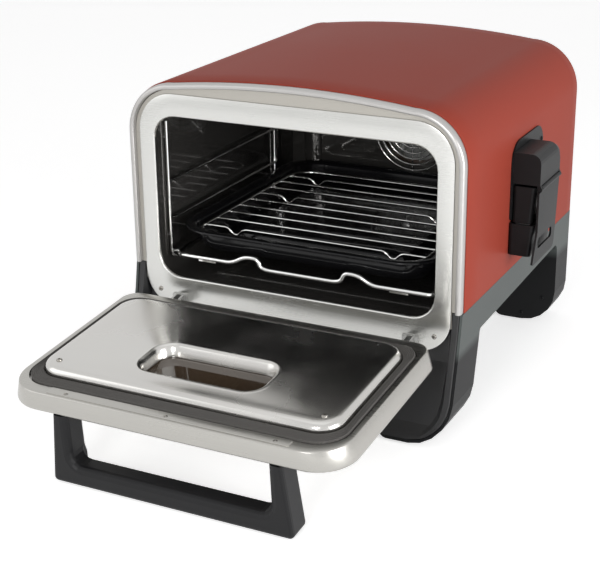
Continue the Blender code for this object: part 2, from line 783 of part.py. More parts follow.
def rack_guide(name, side):
    """A wire ladder: two uprights, two plain rails and the lower rail that carries the frame."""
    x = side * GUIDE_X
    rail_x = side * GUIDE_RAIL_X
    carry_x = side * CARRY_RAIL_X
    reach = FRAME_WIRE + GAP + CARRY_WIRE
    carry_z = FRAME_Z - math.sqrt(reach ** 2 - (CARRY_RAIL_X - FRAME_HALF) ** 2)
    front = tube([(x, GUIDE_FRONT_Y, GUIDE_LOW_Z), (x, GUIDE_FRONT_Y, GUIDE_TOP_Z)], GUIDE_WIRE)
    guide = to_object(name, front, CHROME)
    fuse(guide, tube([(x, GUIDE_BACK_Y, GUIDE_LOW_Z), (x, GUIDE_BACK_Y, GUIDE_TOP_Z)], GUIDE_WIRE))
    for height in GUIDE_RAIL_Z:
        rail = [(rail_x, GUIDE_FRONT_Y - GUIDE_WIRE, height), (rail_x, GUIDE_BACK_Y + GUIDE_WIRE, height)]
        fuse(guide, tube(rail, GUIDE_WIRE))
    bend_x = side * (GUIDE_X - GUIDE_WIRE)
    carry = [
        (bend_x, GUIDE_FRONT_Y, carry_z),
        (carry_x, GUIDE_FRONT_Y + CARRY_INSET, carry_z),
        (carry_x, GUIDE_BACK_Y - CARRY_INSET, carry_z),
        (bend_x, GUIDE_BACK_Y, carry_z),
    ]
    fuse(guide, tube(carry, CARRY_WIRE))
    wall = side * (CAVITY_HALF - GAP)
    for y in (GUIDE_FRONT_Y, GUIDE_BACK_Y):
        for height in (GUIDE_LOW_Z + GUIDE_STUD_INSET * 1.5, GUIDE_TOP_Z - GUIDE_STUD_INSET):
            fuse(guide, cylinder((x, y, height), (wall, y, height), GUIDE_STUD_RADIUS, 8))


def round_path(x_low, x_high, y_low, y_high, radius, height):
    return [(x, y, height) for x, y in rounded_box(x_low, x_high, y_low, y_high, radius, steps=5)]


def frame_bar(y):
    """The shaped front bar: outer lengths, a hump on each side and a lower middle."""
    low = FRAME_Z - FRAME_BAR_DROP
    half = [
        (FRAME_HUMP_IN - FRAME_HUMP_RAMP, FRAME_Z - FRAME_CENTRE_DROP),
        (FRAME_HUMP_IN, FRAME_Z - FRAME_CENTRE_DROP + FRAME_HUMP_RAMP / 4),
        (FRAME_HUMP_IN + FRAME_HUMP_RAMP / 2, FRAME_Z + FRAME_HUMP_RISE),
        (FRAME_HUMP_OUT - 2 * FRAME_HUMP_RAMP, FRAME_Z + FRAME_HUMP_RISE),
        (FRAME_HUMP_OUT, low),
    ]
    left = [(-x, y, z) for x, z in reversed(half)]
    return left + [(x, y, z) for x, z in half]


def accessory_frame(parent):
    y = FRAME_FRONT_Y
    corner = FRAME_CORNER
    low = FRAME_Z - FRAME_BAR_DROP
    path = [(-FRAME_HALF + corner, y, low)] + frame_bar(y) + [(FRAME_HALF - corner, y, low)]
    path += [(FRAME_HALF - corner * 0.3, y + corner * 0.3, low), (FRAME_HALF, y + corner, low)]
    path += [(FRAME_HALF, y + 1.6 * corner, FRAME_Z)]
    rear = [(FRAME_HALF, FRAME_REAR_Y - corner, FRAME_Z)]
    rear += [(FRAME_HALF - corner * 0.3, FRAME_REAR_Y - corner * 0.3, FRAME_Z)]
    rear += [(FRAME_HALF - corner, FRAME_REAR_Y, FRAME_Z)]
    path += rear + [(-x, yy, z) for x, yy, z in reversed(rear)]
    path += [(-FRAME_HALF, y + 1.6 * corner, FRAME_Z), (-FRAME_HALF, y + corner, low)]
    path += [(-FRAME_HALF + corner * 0.3, y + corner * 0.3, low)]
    frame = to_object("accessory_frame", tube(path, FRAME_WIRE, closed=True), CHROME, parent=parent)
    depth = FRAME_REAR_Y - FRAME_FRONT_Y
    for share in FRAME_CROSS_SHARES:
        cross_y = FRAME_FRONT_Y + depth * share
        level = FRAME_Z + FRAME_WIRE - FRAME_CROSS_WIRE
        wire = [(-FRAME_HALF, cross_y, level), (FRAME_HALF, cross_y, level)]
        fuse(frame, tube(wire, FRAME_CROSS_WIRE))
    for side in (-1, 1):
        top = low - FRAME_WIRE / 2
        tab = plate(box_outline(side * TAB_X - TAB_WIDTH / 2, side * TAB_X + TAB_WIDTH / 2,
                                y - TAB_DEPTH / 2, y + TAB_DEPTH / 2), top - TAB_THICK, top, along_z)
        fuse(frame, tab)


def pan_outline(inset):
    radius = max(PAN_CORNER - inset, PAN_SHEET)
    return rounded_box(-PAN_HALF + inset, PAN_HALF - inset, PAN_FRONT_Y + inset, PAN_REAR_Y - inset, radius)


def pan(parent):
    """Loops from the underside, out and up the wall, over the rolled rim, and down inside to the raised floor."""
    bottom = FRAME_Z + FRAME_WIRE + GAP
    roll = PAN_RIM_ROLL
    sheet = PAN_SHEET
    gutter_out = PAN_BOTTOM_INSET
    gutter_in = PAN_BOTTOM_INSET + PAN_FLOOR_INSET
    underside_high = PAN_FLOOR_Z - sheet
    levels = (
        (gutter_in + PAN_GUTTER_SLOPE, underside_high),
        (gutter_in, bottom),
        (gutter_out, bottom),
        (PAN_WALL_INSET + roll, bottom + (PAN_RIM_Z - bottom) * 0.45),
        (PAN_WALL_INSET, PAN_RIM_Z - 2 * roll),
        (roll * 0.3, PAN_RIM_Z - 2 * roll),
        (0, PAN_RIM_Z - roll),
        (roll * 0.3, PAN_RIM_Z - roll * 0.3),
        (roll, PAN_RIM_Z),
        (PAN_WALL_INSET, PAN_RIM_Z - roll * 0.3),
        (PAN_WALL_INSET + sheet, PAN_RIM_Z - roll),
        (PAN_WALL_INSET + roll + sheet, bottom + (PAN_RIM_Z - bottom) * 0.45),
        (gutter_out + sheet, bottom + sheet),
        (gutter_in - sheet, bottom + sheet),
        (gutter_in + PAN_GUTTER_SLOPE - sheet, PAN_FLOOR_Z),
    )
    to_object("pan", loft([along_z(pan_outline(inset), level) for inset, level in levels]), ENAMEL, parent=parent)


def dipped_wire(y, half, dips):
    points = [(-half, y, RACK_Z)]
    if dips:
        for centre in (-DIP_X, DIP_X):
            for share, drop in ((-1, 0), (-0.55, 0.15), (-0.2, 0.95), (0.2, 0.95), (0.55, 0.15), (1, 0)):
                points.append((centre + DIP_HALF * share, y, RACK_Z - DIP_DEPTH * drop / 0.95))
    points.append((half, y, RACK_Z))
    return points


def roast_rack(parent):
    front = PAN_FRONT_Y + RACK_FRONT_OFFSET
    rear = front + RACK_PITCH * (RACK_CROSS_COUNT + 1)
    loop = round_path(-RACK_HALF, RACK_HALF, front, rear, RACK_CORNER, RACK_Z)
    rack = to_object("roast_rack", tube(loop, RACK_WIRE, closed=True), CHROME, parent=parent)
    for row in range(1, RACK_CROSS_COUNT + 1):
        y = front + RACK_PITCH * row
        inward = 0
        edge = min(row, RACK_CROSS_COUNT + 1 - row) * RACK_PITCH
        if edge < RACK_CORNER:
            inward = RACK_CORNER - math.sqrt(RACK_CORNER ** 2 - (RACK_CORNER - edge) ** 2)
        fuse(rack, tube(dipped_wire(y, RACK_HALF - inward, row in DIP_ROWS), RACK_CROSS_WIRE))


def skirt_profile(inset, side):
    """Side wall, rounded lower corner, sole and inner wall of the legs, seen from the front."""
    outer = BODY_HALF - inset
    row = [(outer, COVER_BOTTOM - GAP)]
    row += arc_points(BODY_HALF - BASE_CORNER, FOOT_BOTTOM + BASE_CORNER, BASE_CORNER - inset, 0, -0.5)
    row += arc_points(FOOT_INNER_X + FOOT_INNER_RADIUS, FOOT_BOTTOM + FOOT_INNER_RADIUS,
                      FOOT_INNER_RADIUS - inset, 1.5, 1.0)
    row.append((FOOT_INNER_X + inset, DECK_BOTTOM + DECK_THICK / 2))
    return [(side * x, z) for x, z in row]


def leg_wall(side, low_back, high_back, y_step):
    """A wall across one leg, upright or leaning, with the leg's rounded lower corners."""
    heights = [FOOT_BOTTOM + BASE_SKIN / 2]
    heights += [FOOT_BOTTOM + BASE_CORNER * share for share in LEG_WALL_SHARES]
    heights += [ARCH_FRONT_Z - ARCH_FRONT_RADIUS, DECK_BOTTOM + DECK_THICK / 2]
    straight = ARCH_FRONT_Z - ARCH_FRONT_RADIUS - heights[0]
    loops = []
    inset = BASE_SKIN / 2
    for z in heights:
        outer_sink = max(0, FOOT_BOTTOM + BASE_CORNER - z)
        outer = BODY_HALF - BASE_CORNER + math.sqrt(max(0, (BASE_CORNER - inset) ** 2 - outer_sink ** 2))
        inner_sink = max(0, FOOT_BOTTOM + FOOT_INNER_RADIUS - z)
        inner = FOOT_INNER_X + FOOT_INNER_RADIUS
        inner -= math.sqrt(max(0, (FOOT_INNER_RADIUS - inset) ** 2 - inner_sink ** 2))
        share = min(1, (z - heights[0]) / straight)
        y = low_back + (high_back - low_back) * share
        loops.append([Vector((side * x, yy, z)) for x, yy in
                      ((inner, y), (outer, y), (outer, y + y_step), (inner, y + y_step))])
    return loft(loops)


def base_housing():
    """Side skirts, legs and deck in one moulding, trimmed at the front to the panel that it carries."""
    low_y = min(PANEL_EDGE_Y)
    housings = []
    for side in (-1, 1):
        outer = skirt_profile(0, side)
        inner = skirt_profile(BASE_SKIN, side)
        rows = [along_y(outer, low_y), along_y(outer, BODY_DEPTH), along_y(inner, BODY_DEPTH), along_y(inner, low_y)]
        housings.append(swept_strip(rows))
    housing = to_object("base_housing", housings[0], GREY_PLASTIC)
    deck_half = BODY_HALF - BASE_SKIN / 2
    deck_front = max(PANEL_FIELD_Y) + PANEL_THICK * 1.5 + GAP
    deck = plate(box_outline(-deck_half, deck_half, deck_front, BODY_DEPTH), DECK_BOTTOM,
                 DECK_BOTTOM + DECK_THICK, along_z)
    fuse(housing, deck)
    fuse(housing, housings[1])
    front = list(zip(PANEL_EDGE_Y, PANEL_EDGE_Z))
    ahead = low_y - CUT_OVER
    trim = [(ahead, PANEL_TOP + CUT_OVER), (PANEL_EDGE_Y[0], PANEL_TOP + CUT_OVER)] + front
    trim += [(front[-1][0], front[-1][1] - CUT_OVER), (ahead, front[-1][1] - CUT_OVER)]
    cut(housing, plate(trim, -BODY_HALF - CUT_OVER, BODY_HALF + CUT_OVER, along_x))
    room = [[Vector((x, y, z)) for x, y in ((-half, ahead), (half, ahead), (half, back), (-half, back))]
            for z, half, back in panel_room()]
    cut(housing, loft(room))
    radius = ARCH_FRONT_RADIUS
    knee = ARCH_FRONT_Z - radius
    arch = [(ARCH_FRONT_Y - FRONT_LEG_TAPER, -CUT_OVER), (ARCH_FRONT_Y, knee)]
    arch += list(reversed(arc_points(ARCH_FRONT_Y + radius, knee, radius, 0.5, 0.9)))
    radius = ARCH_RADIUS
    arch += list(reversed(arc_points(ARCH_BACK_Y - radius, ARCH_BACK_Z - radius, radius, 0, 0.5)))
    arch += [(ARCH_BACK_Y, -CUT_OVER)]
    cut(housing, plate(arch, -BODY_HALF - CUT_OVER, BODY_HALF + CUT_OVER, along_x))
    lean = FRONT_LEG_TAPER * (FOOT_BOTTOM + BASE_SKIN / 2) / knee
    for side in (-1, 1):
        fuse(housing, leg_wall(side, ARCH_FRONT_Y - FRONT_LEG_TAPER + lean, ARCH_FRONT_Y, -BASE_SKIN))
        fuse(housing, leg_wall(side, ARCH_BACK_Y, ARCH_BACK_Y, BASE_SKIN))
        fuse(housing, leg_wall(side, BODY_DEPTH, BODY_DEPTH, -BASE_SKIN))
        mould_gap = sorted((side * (FOOT_INNER_X + 3 * BASE_SKIN), side * (BODY_HALF - 3 * BASE_SKIN)))
        core = box_outline(*mould_gap, ARCH_BACK_Y + 3 * BASE_SKIN, BODY_DEPTH - 3 * BASE_SKIN)
        cut(housing, plate(core, DECK_BOTTOM - CUT_OVER, DECK_BOTTOM + DECK_THICK + CUT_OVER, along_z))
    pads = []
    for side in (-1, 1):
        for y in (FRONT_PAD_Y, REAR_PAD_Y):
            centre = side * PAD_X
            cut(housing, plate(circle(centre, y, PAD_RADIUS + GAP), -CUT_OVER, FOOT_BOTTOM + PAD_RECESS, along_z))
            pads.append(plate(circle(centre, y, PAD_RADIUS), 0, FOOT_BOTTOM + PAD_RECESS - GAP, along_z))
    for name, builder in zip(("foot_left_front", "foot_left_rear", "foot_right_front", "foot_right_rear"), pads):
        to_object(name, builder, RUBBER)


def panel_heights():
    heights = list(PANEL_EDGE_Z[:3])
    heights += [PANEL_EDGE_Z[3] + (PANEL_EDGE_Z[2] - PANEL_EDGE_Z[3]) / 2]
    low = FOOT_BOTTOM + BASE_SKIN + GAP
    heights += [low + (PANEL_EDGE_Z[3] - low) * share for share in PANEL_LOW_SHARES]
    return heights


def panel_half(z):
    radius = BASE_CORNER - BASE_SKIN - GAP
    sink = min(max(FOOT_BOTTOM + BASE_CORNER - z, 0), radius)
    return BODY_HALF - BASE_CORNER + math.sqrt(radius ** 2 - sink ** 2)


def panel_depths(z):
    """Front edge, sunk field and back of the panel at one height."""
    edge = profile_at(z, PANEL_EDGE_Y)
    share = min(1, max(0, (z - PANEL_BEZEL - FOOT_BOTTOM) / PANEL_BEZEL))
    field = edge + (profile_at(z, PANEL_FIELD_Y) - edge + PANEL_THICK / 2) * share
    return edge, field, max(edge, field) + PANEL_THICK


def panel_room():
    """Height, half width and rear plane of the room the housing leaves for the panel."""
    rows = [(z, panel_half(z) + GAP, panel_depths(z)[2] + GAP) for z in panel_heights()]
    top = rows[0]
    low = rows[-1]
    return [(PANEL_TOP + CUT_OVER, top[1], top[2])] + rows[1:-1] + [(low[0] - GAP, low[1], low[2])]


def profile_at(z, values):
    heights = PANEL_EDGE_Z
    for index in range(len(heights) - 1):
        if z >= heights[index + 1]:
            share = (heights[index] - z) / (heights[index] - heights[index + 1])
            return values[index] + (values[index + 1] - values[index]) * share
    return values[-1]


def front_panel():
    """A curved panel with a raised rounded edge, lofted from its top to its bottom."""
    loops = []
    for z in panel_heights():
        half = panel_half(z)
        edge, field, back = panel_depths(z)
        columns = (
            (half, edge + PANEL_BEZEL_SLOPE / 4),
            (half - PANEL_BEZEL / 5, edge),
            (half - PANEL_BEZEL, edge),
            (half - PANEL_BEZEL - PANEL_BEZEL_SLOPE, field),
        )
        right = [Vector((x, y, z)) for x, y in columns]
        left = [Vector((-x, y, z)) for x, y in reversed(columns)]
        loops.append(right + left + [Vector((-half, back, z)), Vector((half, back, z))])
    panel = to_object("front_panel", loft(loops), BLACK_PLASTIC)
    notch = plate(box_outline(-PANEL_NOTCH_HALF, PANEL_NOTCH_HALF, -BODY_HALF, BODY_HALF), PANEL_NOTCH_Z,
                  PANEL_TOP + CUT_OVER, along_z)
    cut(panel, notch)
    return panel


def control_matrix():
    """Frame on the sunk field: x across, y up along the field and z straight out of it."""
    rise = PANEL_EDGE_Z[2] - PANEL_EDGE_Z[3]
    lean = math.atan((PANEL_FIELD_Y[2] - PANEL_FIELD_Y[3]) / rise)
    place = Vector((0, panel_depths(CONTROL_Z)[1], CONTROL_Z))
    return place, math.pi / 2 - lean


def dial_builder():
    steps = DIAL_GRIP_COUNT * 4
    loops = []
    for height, share in DIAL_PROFILE_SHARES:
        loop = []
        for step in range(steps):
            angle = 2 * math.pi * step / steps
            grip = DIAL_GRIP_DEPTH if step % 4 < 2 and 0 < height < 1 else 0
            radius = DIAL_RADIUS * share - grip
            loop.append(Vector((radius * math.cos(angle), radius * math.sin(angle),
                                2 * GAP + DIAL_HEIGHT * height)))
        loops.append(loop)
    return loft(loops)


def controls(panel):
    place, turn = control_matrix()
    matrix = Matrix.Translation(place) @ Matrix.Rotation(turn, 4, "X")
    base = hinge_empty("control_frame", place, turn)
    depth = PANEL_THICK * math.sin(turn)
    board_top = -depth - ENCODER_LENGTH - 2 * GAP
    board = to_object("control_board", plate(box_outline(-BOARD_HALF_X, BOARD_HALF_X, -BOARD_HALF_Y, BOARD_HALF_Y),
                                             board_top - BOARD_THICK, board_top, along_z), BOARD_GREEN, parent=base)
    for name, x in (("left_dial", -DIAL_X), ("right_dial", DIAL_X)):
        axis = hinge_empty(name + "_axis", place + Vector((x, 0, 0)), turn)
        dial = to_object(name, dial_builder(), BLACK_PLASTIC, parent=axis)
        fuse(dial, cylinder((0, 0, -depth - GAP), (0, 0, DIAL_SHAFT_LENGTH), DIAL_SHAFT, 16))
        mark = box_outline(-DIAL_MARK / 2, DIAL_MARK / 2, DIAL_RADIUS * 0.35, DIAL_RADIUS * 0.8)
        top = 2 * GAP + DIAL_HEIGHT
        cut(dial, plate(mark, top - DIAL_MARK / 2, top + CUT_OVER, along_z))
        hole = cylinder((x, 0, -depth - CUT_OVER), (x, 0, CUT_OVER), DIAL_SHAFT + GAP, 16)
        bmesh.ops.transform(hole, matrix=matrix, verts=hole.verts)
        cut(panel, hole)
        half = ENCODER_SIZE / 2
        fuse(board, plate(box_outline(x - half, x + half, -half, half), board_top - BOARD_THICK / 2,
                          -depth - 2 * GAP, along_z))
    for number, x in enumerate(BUTTON_XS, 1):
        button = to_object("button_%d" % number, plate(
            rounded_box(x - BUTTON_HALF_X, x + BUTTON_HALF_X, -BUTTON_HALF_Z, BUTTON_HALF_Z, BUTTON_CORNER, steps=3),
            -depth - BUTTON_STEM / 3, BUTTON_PROUD, along_z), GREY_PLASTIC, parent=base)
        wide = BUTTON_CLEAR * 3
        fuse(button, plate(box_outline(x - BUTTON_HALF_X - wide, x + BUTTON_HALF_X + wide, -BUTTON_HALF_Z - wide,
                                       BUTTON_HALF_Z + wide), -depth - BUTTON_STEM / 3, -depth - 2 * GAP, along_z))
        hole = plate(rounded_box(x - BUTTON_HALF_X - BUTTON_CLEAR, x + BUTTON_HALF_X + BUTTON_CLEAR,
                                 -BUTTON_HALF_Z - BUTTON_CLEAR, BUTTON_HALF_Z + BUTTON_CLEAR,
                                 BUTTON_CORNER + BUTTON_CLEAR, steps=3), -depth - CUT_OVER, CUT_OVER, along_z)
        bmesh.ops.transform(hole, matrix=matrix, verts=hole.verts)
        cut(panel, hole)
        half = BUTTON_HALF_Z * 0.75
        fuse(board, plate(box_outline(x - half, x + half, -half, half), board_top - BOARD_THICK / 2,
                          -depth - BUTTON_STEM / 3 - BUTTON_TRAVEL - GAP, along_z))
    window = rounded_box(-DISPLAY_HALF_X, DISPLAY_HALF_X, -DISPLAY_HALF_Z, DISPLAY_HALF_Z, BUTTON_CORNER, steps=3)
    to_object("display_window", plate(window, DISPLAY_PROUD - DISPLAY_THICK, DISPLAY_PROUD, along_z), GLASS,
              parent=base)
    hole = plate(rounded_box(-DISPLAY_HALF_X - GAP, DISPLAY_HALF_X + GAP, -DISPLAY_HALF_Z - GAP,
                             DISPLAY_HALF_Z + GAP, BUTTON_CORNER + GAP, steps=3), -depth - CUT_OVER, CUT_OVER,
                 along_z)
    bmesh.ops.transform(hole, matrix=matrix, verts=hole.verts)
    cut(panel, hole)
    module = plate(box_outline(-DISPLAY_HALF_X + GAP, DISPLAY_HALF_X - GAP, -DISPLAY_HALF_Z + GAP,
                               DISPLAY_HALF_Z - GAP), board_top - BOARD_THICK / 2,
                   DISPLAY_PROUD - DISPLAY_THICK - GAP, along_z)
    fuse(board, module)
    inner = FOOT_INNER_X - GAP
    low = CONTROL_LID_Z
    front_y = panel_depths(low + 2 * SHEET)[2] + GAP
    path = [(front_y, low), (CONTROL_LID_Y, low), (CONTROL_LID_Y, DECK_BOTTOM - GAP),
            (CONTROL_LID_Y - SHEET, DECK_BOTTOM - GAP), (CONTROL_LID_Y - SHEET, low + SHEET), (front_y, low + SHEET)]
    to_object("control_box_lid", plate(path, -inner, inner, along_x), STAINLESS)


def along_door(points, height):
    """Points given across and out from the hinge axis, at a height above it."""
    return [Vector((u, -v, height)) for u, v in points]


def door_outline(half, low, high, low_radius, high_radius):
    return rounded_box(-half, half, low, high, low_radius, high_radius)


def door_ring(inset, height):
    """The door's outline at one height: it widens towards the outer face."""
    inside = DOOR_OUTER_FACE + DOOR_THICK
    flare = DOOR_DRAFT * (inside - height) / DOOR_THICK
    half = DOOR_HALF - DOOR_DRAFT + flare - inset
    low = DOOR_BOTTOM + inset
    high = DOOR_BOTTOM + DOOR_HEIGHT - inset
    return along_door(door_outline(half, low, high, DOOR_HINGE_RADIUS - inset, DOOR_FREE_RADIUS - inset), height)


def gasket_outline(grow):
    return door_outline(GASKET_HALF + grow, GASKET_LOW - grow, GASKET_HIGH + grow, GASKET_LOW_RADIUS + grow,
                        GASKET_RADIUS + grow)


def raised_outline(inset):
    return door_outline(RAISED_HALF - inset, RAISED_LOW + inset, RAISED_HIGH - inset,
                        RAISED_RADIUS - inset, RAISED_RADIUS - inset)


def window_outline(inset):
    radius = WINDOW_RADIUS - inset
    return door_outline(WINDOW_HALF - inset, WINDOW_LOW + inset, WINDOW_HIGH - inset, radius, radius)


def outer_window_outline(grow):
    return door_outline(OUTER_WINDOW_HALF + grow, OUTER_WINDOW_LOW - grow, OUTER_WINDOW_HIGH + grow,
                        WINDOW_RADIUS + grow, WINDOW_RADIUS + grow)


def door(parent):
    inside = DOOR_OUTER_FACE + DOOR_THICK
    outer = DOOR_OUTER_FACE
    edge = DOOR_EDGE_ROUND
    sheet = DOOR_SHEET
    loops = [
        along_door(gasket_outline(GAP), inside),
        door_ring(edge / 4, inside),
        door_ring(0, inside - edge / 4),
        door_ring(0, outer + edge),
        door_ring(edge * 0.3, outer + edge * 0.3),
        door_ring(edge, outer),
        along_door(outer_window_outline(0), outer),
        along_door(outer_window_outline(0), outer + sheet),
        door_ring(edge + sheet / 2, outer + sheet),
        door_ring(sheet, outer + edge + sheet / 2),
        door_ring(sheet, inside - sheet),
        along_door(gasket_outline(GAP), inside - sheet),
    ]
    to_object("door_shell", loft(loops, ring=True), STAINLESS, parent=parent)
    pane = outer + sheet + GAP
    to_object("door_outer_glass", loft([along_door(outer_window_outline(GLASS_LAP), pane),
                                        along_door(outer_window_outline(GLASS_LAP), pane + GLASS_THICK)]),
              GLASS, parent=parent)
    top = inside + GASKET_PROUD
    low = top - GASKET_THICK
    crown = GASKET_PROUD / 2
    loops = [
        along_door(gasket_outline(0), low),
        along_door(gasket_outline(0), top - crown),
        along_door(gasket_outline(-crown), top),
        along_door(raised_outline(-GAP - crown), top),
        along_door(raised_outline(-GAP), top - crown),
        along_door(raised_outline(-GAP), low),
    ]
    to_object("door_gasket", loft(loops, ring=True), GASKET_CLOTH, parent=parent)
    face = inside + RAISED_PROUD
    thin = PANEL_SHEET
    bevel = RAISED_BEVEL
    dish = WINDOW_DISH
    slope = WINDOW_DISH_SLOPE
    shelf = low - GAP
    loops = [
        along_door(gasket_outline(0), shelf),
        along_door(raised_outline(0), shelf),
        along_door(raised_outline(bevel / 5), inside + bevel / 5),
        along_door(raised_outline(bevel), face - bevel / 8),
        along_door(raised_outline(bevel * 1.2), face),
        along_door(window_outline(0), face),
        along_door(window_outline(slope), face - dish),
        along_door(window_outline(slope), face - dish - thin),
        along_door(window_outline(-thin), face - thin),
        along_door(raised_outline(bevel * 1.2), face - thin),
        along_door(raised_outline(bevel + thin), face - bevel / 8 - thin),
        along_door(raised_outline(bevel / 5 + thin), inside + bevel / 5 - thin),
        along_door(raised_outline(thin), shelf - thin),
        along_door(gasket_outline(0), shelf - thin),
    ]
    to_object("door_inner_panel", loft(loops, ring=True), POLISHED, parent=parent)
    pane = face - dish - thin - GAP
    outline = window_outline(slope - GLASS_LAP)
    to_object("door_inner_glass", loft([along_door(outline, pane), along_door(outline, pane - GLASS_THICK)]),
              GLASS, parent=parent)


def handle_outline(inset, grip_inset):
    """The handle seen from the door's free edge: two splayed posts and a bar with a finger gap above it."""
    seat = DOOR_OUTER_FACE - GAP
    half = HANDLE_HALF + HANDLE_SPLAY - inset
    low = seat - HANDLE_OUT + inset
    gap_half = HANDLE_HALF - HANDLE_POST + grip_inset
    gap_low = seat - HANDLE_OUT + HANDLE_BAR - grip_inset
    corner = HANDLE_CORNER - inset
    fillet = HANDLE_FILLET + grip_inset
    right = arc_points(half - corner, low + corner, corner, -0.5, 0, 4)
    right += [(HANDLE_HALF - inset, seat), (gap_half, seat)]
    right += arc_points(gap_half - fillet, gap_low + fillet, fillet, 0, -0.5, 4)
    left = [(-x, z) for x, z in reversed(right)]
    return right + left


def handle(parent):
    far = DOOR_BOTTOM + DOOR_HEIGHT - HANDLE_EDGE
    near = far - HANDLE_DEPTH
    soft = HANDLE_ROUND
    grip = HANDLE_GRIP_ROUND
    rows = ((near, soft, soft), (near + soft * 0.3, soft * 0.3, soft * 0.3), (near + soft, 0, 0),
            (far - grip, 0, 0), (far - grip * 0.62, 0, grip * 0.08), (far - grip * 0.3, soft * 0.1, grip * 0.3),
            (far - grip * 0.08, soft * 0.45, grip * 0.62), (far, soft, grip))
    loops = [[Vector((x, -d, h)) for x, h in handle_outline(inset, grip_inset)] for d, inset, grip_inset in rows]
    bar = to_object("door_handle", loft(loops), BLACK_PLASTIC, parent=parent)
    gap_half = HANDLE_HALF - HANDLE_POST
    low = DOOR_OUTER_FACE - HANDLE_OUT - CUT_OVER
    slot = rounded_box(-gap_half, gap_half, near - CUT_OVER * 3, near + HANDLE_DEPTH - HANDLE_BAR_DEPTH,
                       HANDLE_ROUND, steps=3)
    cut(bar, loft([along_door(slot, low), along_door(slot, DOOR_OUTER_FACE + CUT_OVER)]))


def hinges(parent):
    """A lug on the door between two cheeks of a bracket on the face plate, with a pin through all three."""
    axis = Vector((0, DOOR_AXIS_Y, DOOR_AXIS_Z))
    for name, side in (("left", -1), ("right", 1)):
        centre = side * LUG_X
        seat = DOOR_BOTTOM - GAP
        ring = arc_points(0, 0, LUG_RADIUS, 1.5, 0.5, 10)
        outline = [(-d, h) for d, h in ((seat, LUG_SEAT_LOW), (seat, LUG_SEAT_HIGH))]
        outline += [(y * -1, z) for y, z in ring[::-1]]
        lug = to_object("door_lug_" + name, plate(outline, centre - LUG_THICK / 2, centre + LUG_THICK / 2, along_x),
                        STAINLESS, parent=parent)
        cut(lug, cylinder((centre - LUG_THICK, 0, 0), (centre + LUG_THICK, 0, 0), PIN_RADIUS + GAP, 16))
        reach = LUG_THICK / 2 + GAP + CHEEK_THICK
        foot_front = PLATE_Y - GAP - CHEEK_THICK
        foot_low = DOOR_AXIS_Z - CHEEK_LOW
        foot_high = DOOR_AXIS_Z + CHEEK_HIGH
        bracket = to_object("hinge_bracket_" + name, plate(
            box_outline(centre - reach - CHEEK_FOOT, centre + reach + CHEEK_FOOT, foot_front, PLATE_Y - GAP),
            foot_low, foot_high, along_z), STAINLESS)
        for edge in (-1, 1):
            inner = centre + edge * (LUG_THICK / 2 + GAP)
            outer = centre + edge * reach
            nose = [(axis.y + y, axis.z + z) for y, z in arc_points(0, 0, LUG_RADIUS, 0.5, 1.5, 10)]
            profile = [(foot_front + CHEEK_THICK / 2, foot_high)] + nose + [(foot_front + CHEEK_THICK / 2, foot_low)]
            fuse(bracket, plate(profile, min(inner, outer), max(inner, outer), along_x))
        over = reach + CHEEK_FOOT
        cut(bracket, cylinder((centre - over, axis.y, axis.z), (centre + over, axis.y, axis.z),
                              PIN_RADIUS + GAP, 16))
        pin = cylinder((centre - reach - GAP, axis.y, axis.z), (centre + reach + GAP, axis.y, axis.z),
                       PIN_RADIUS, 16)
        to_object("hinge_pin_" + name, pin, CHROME)


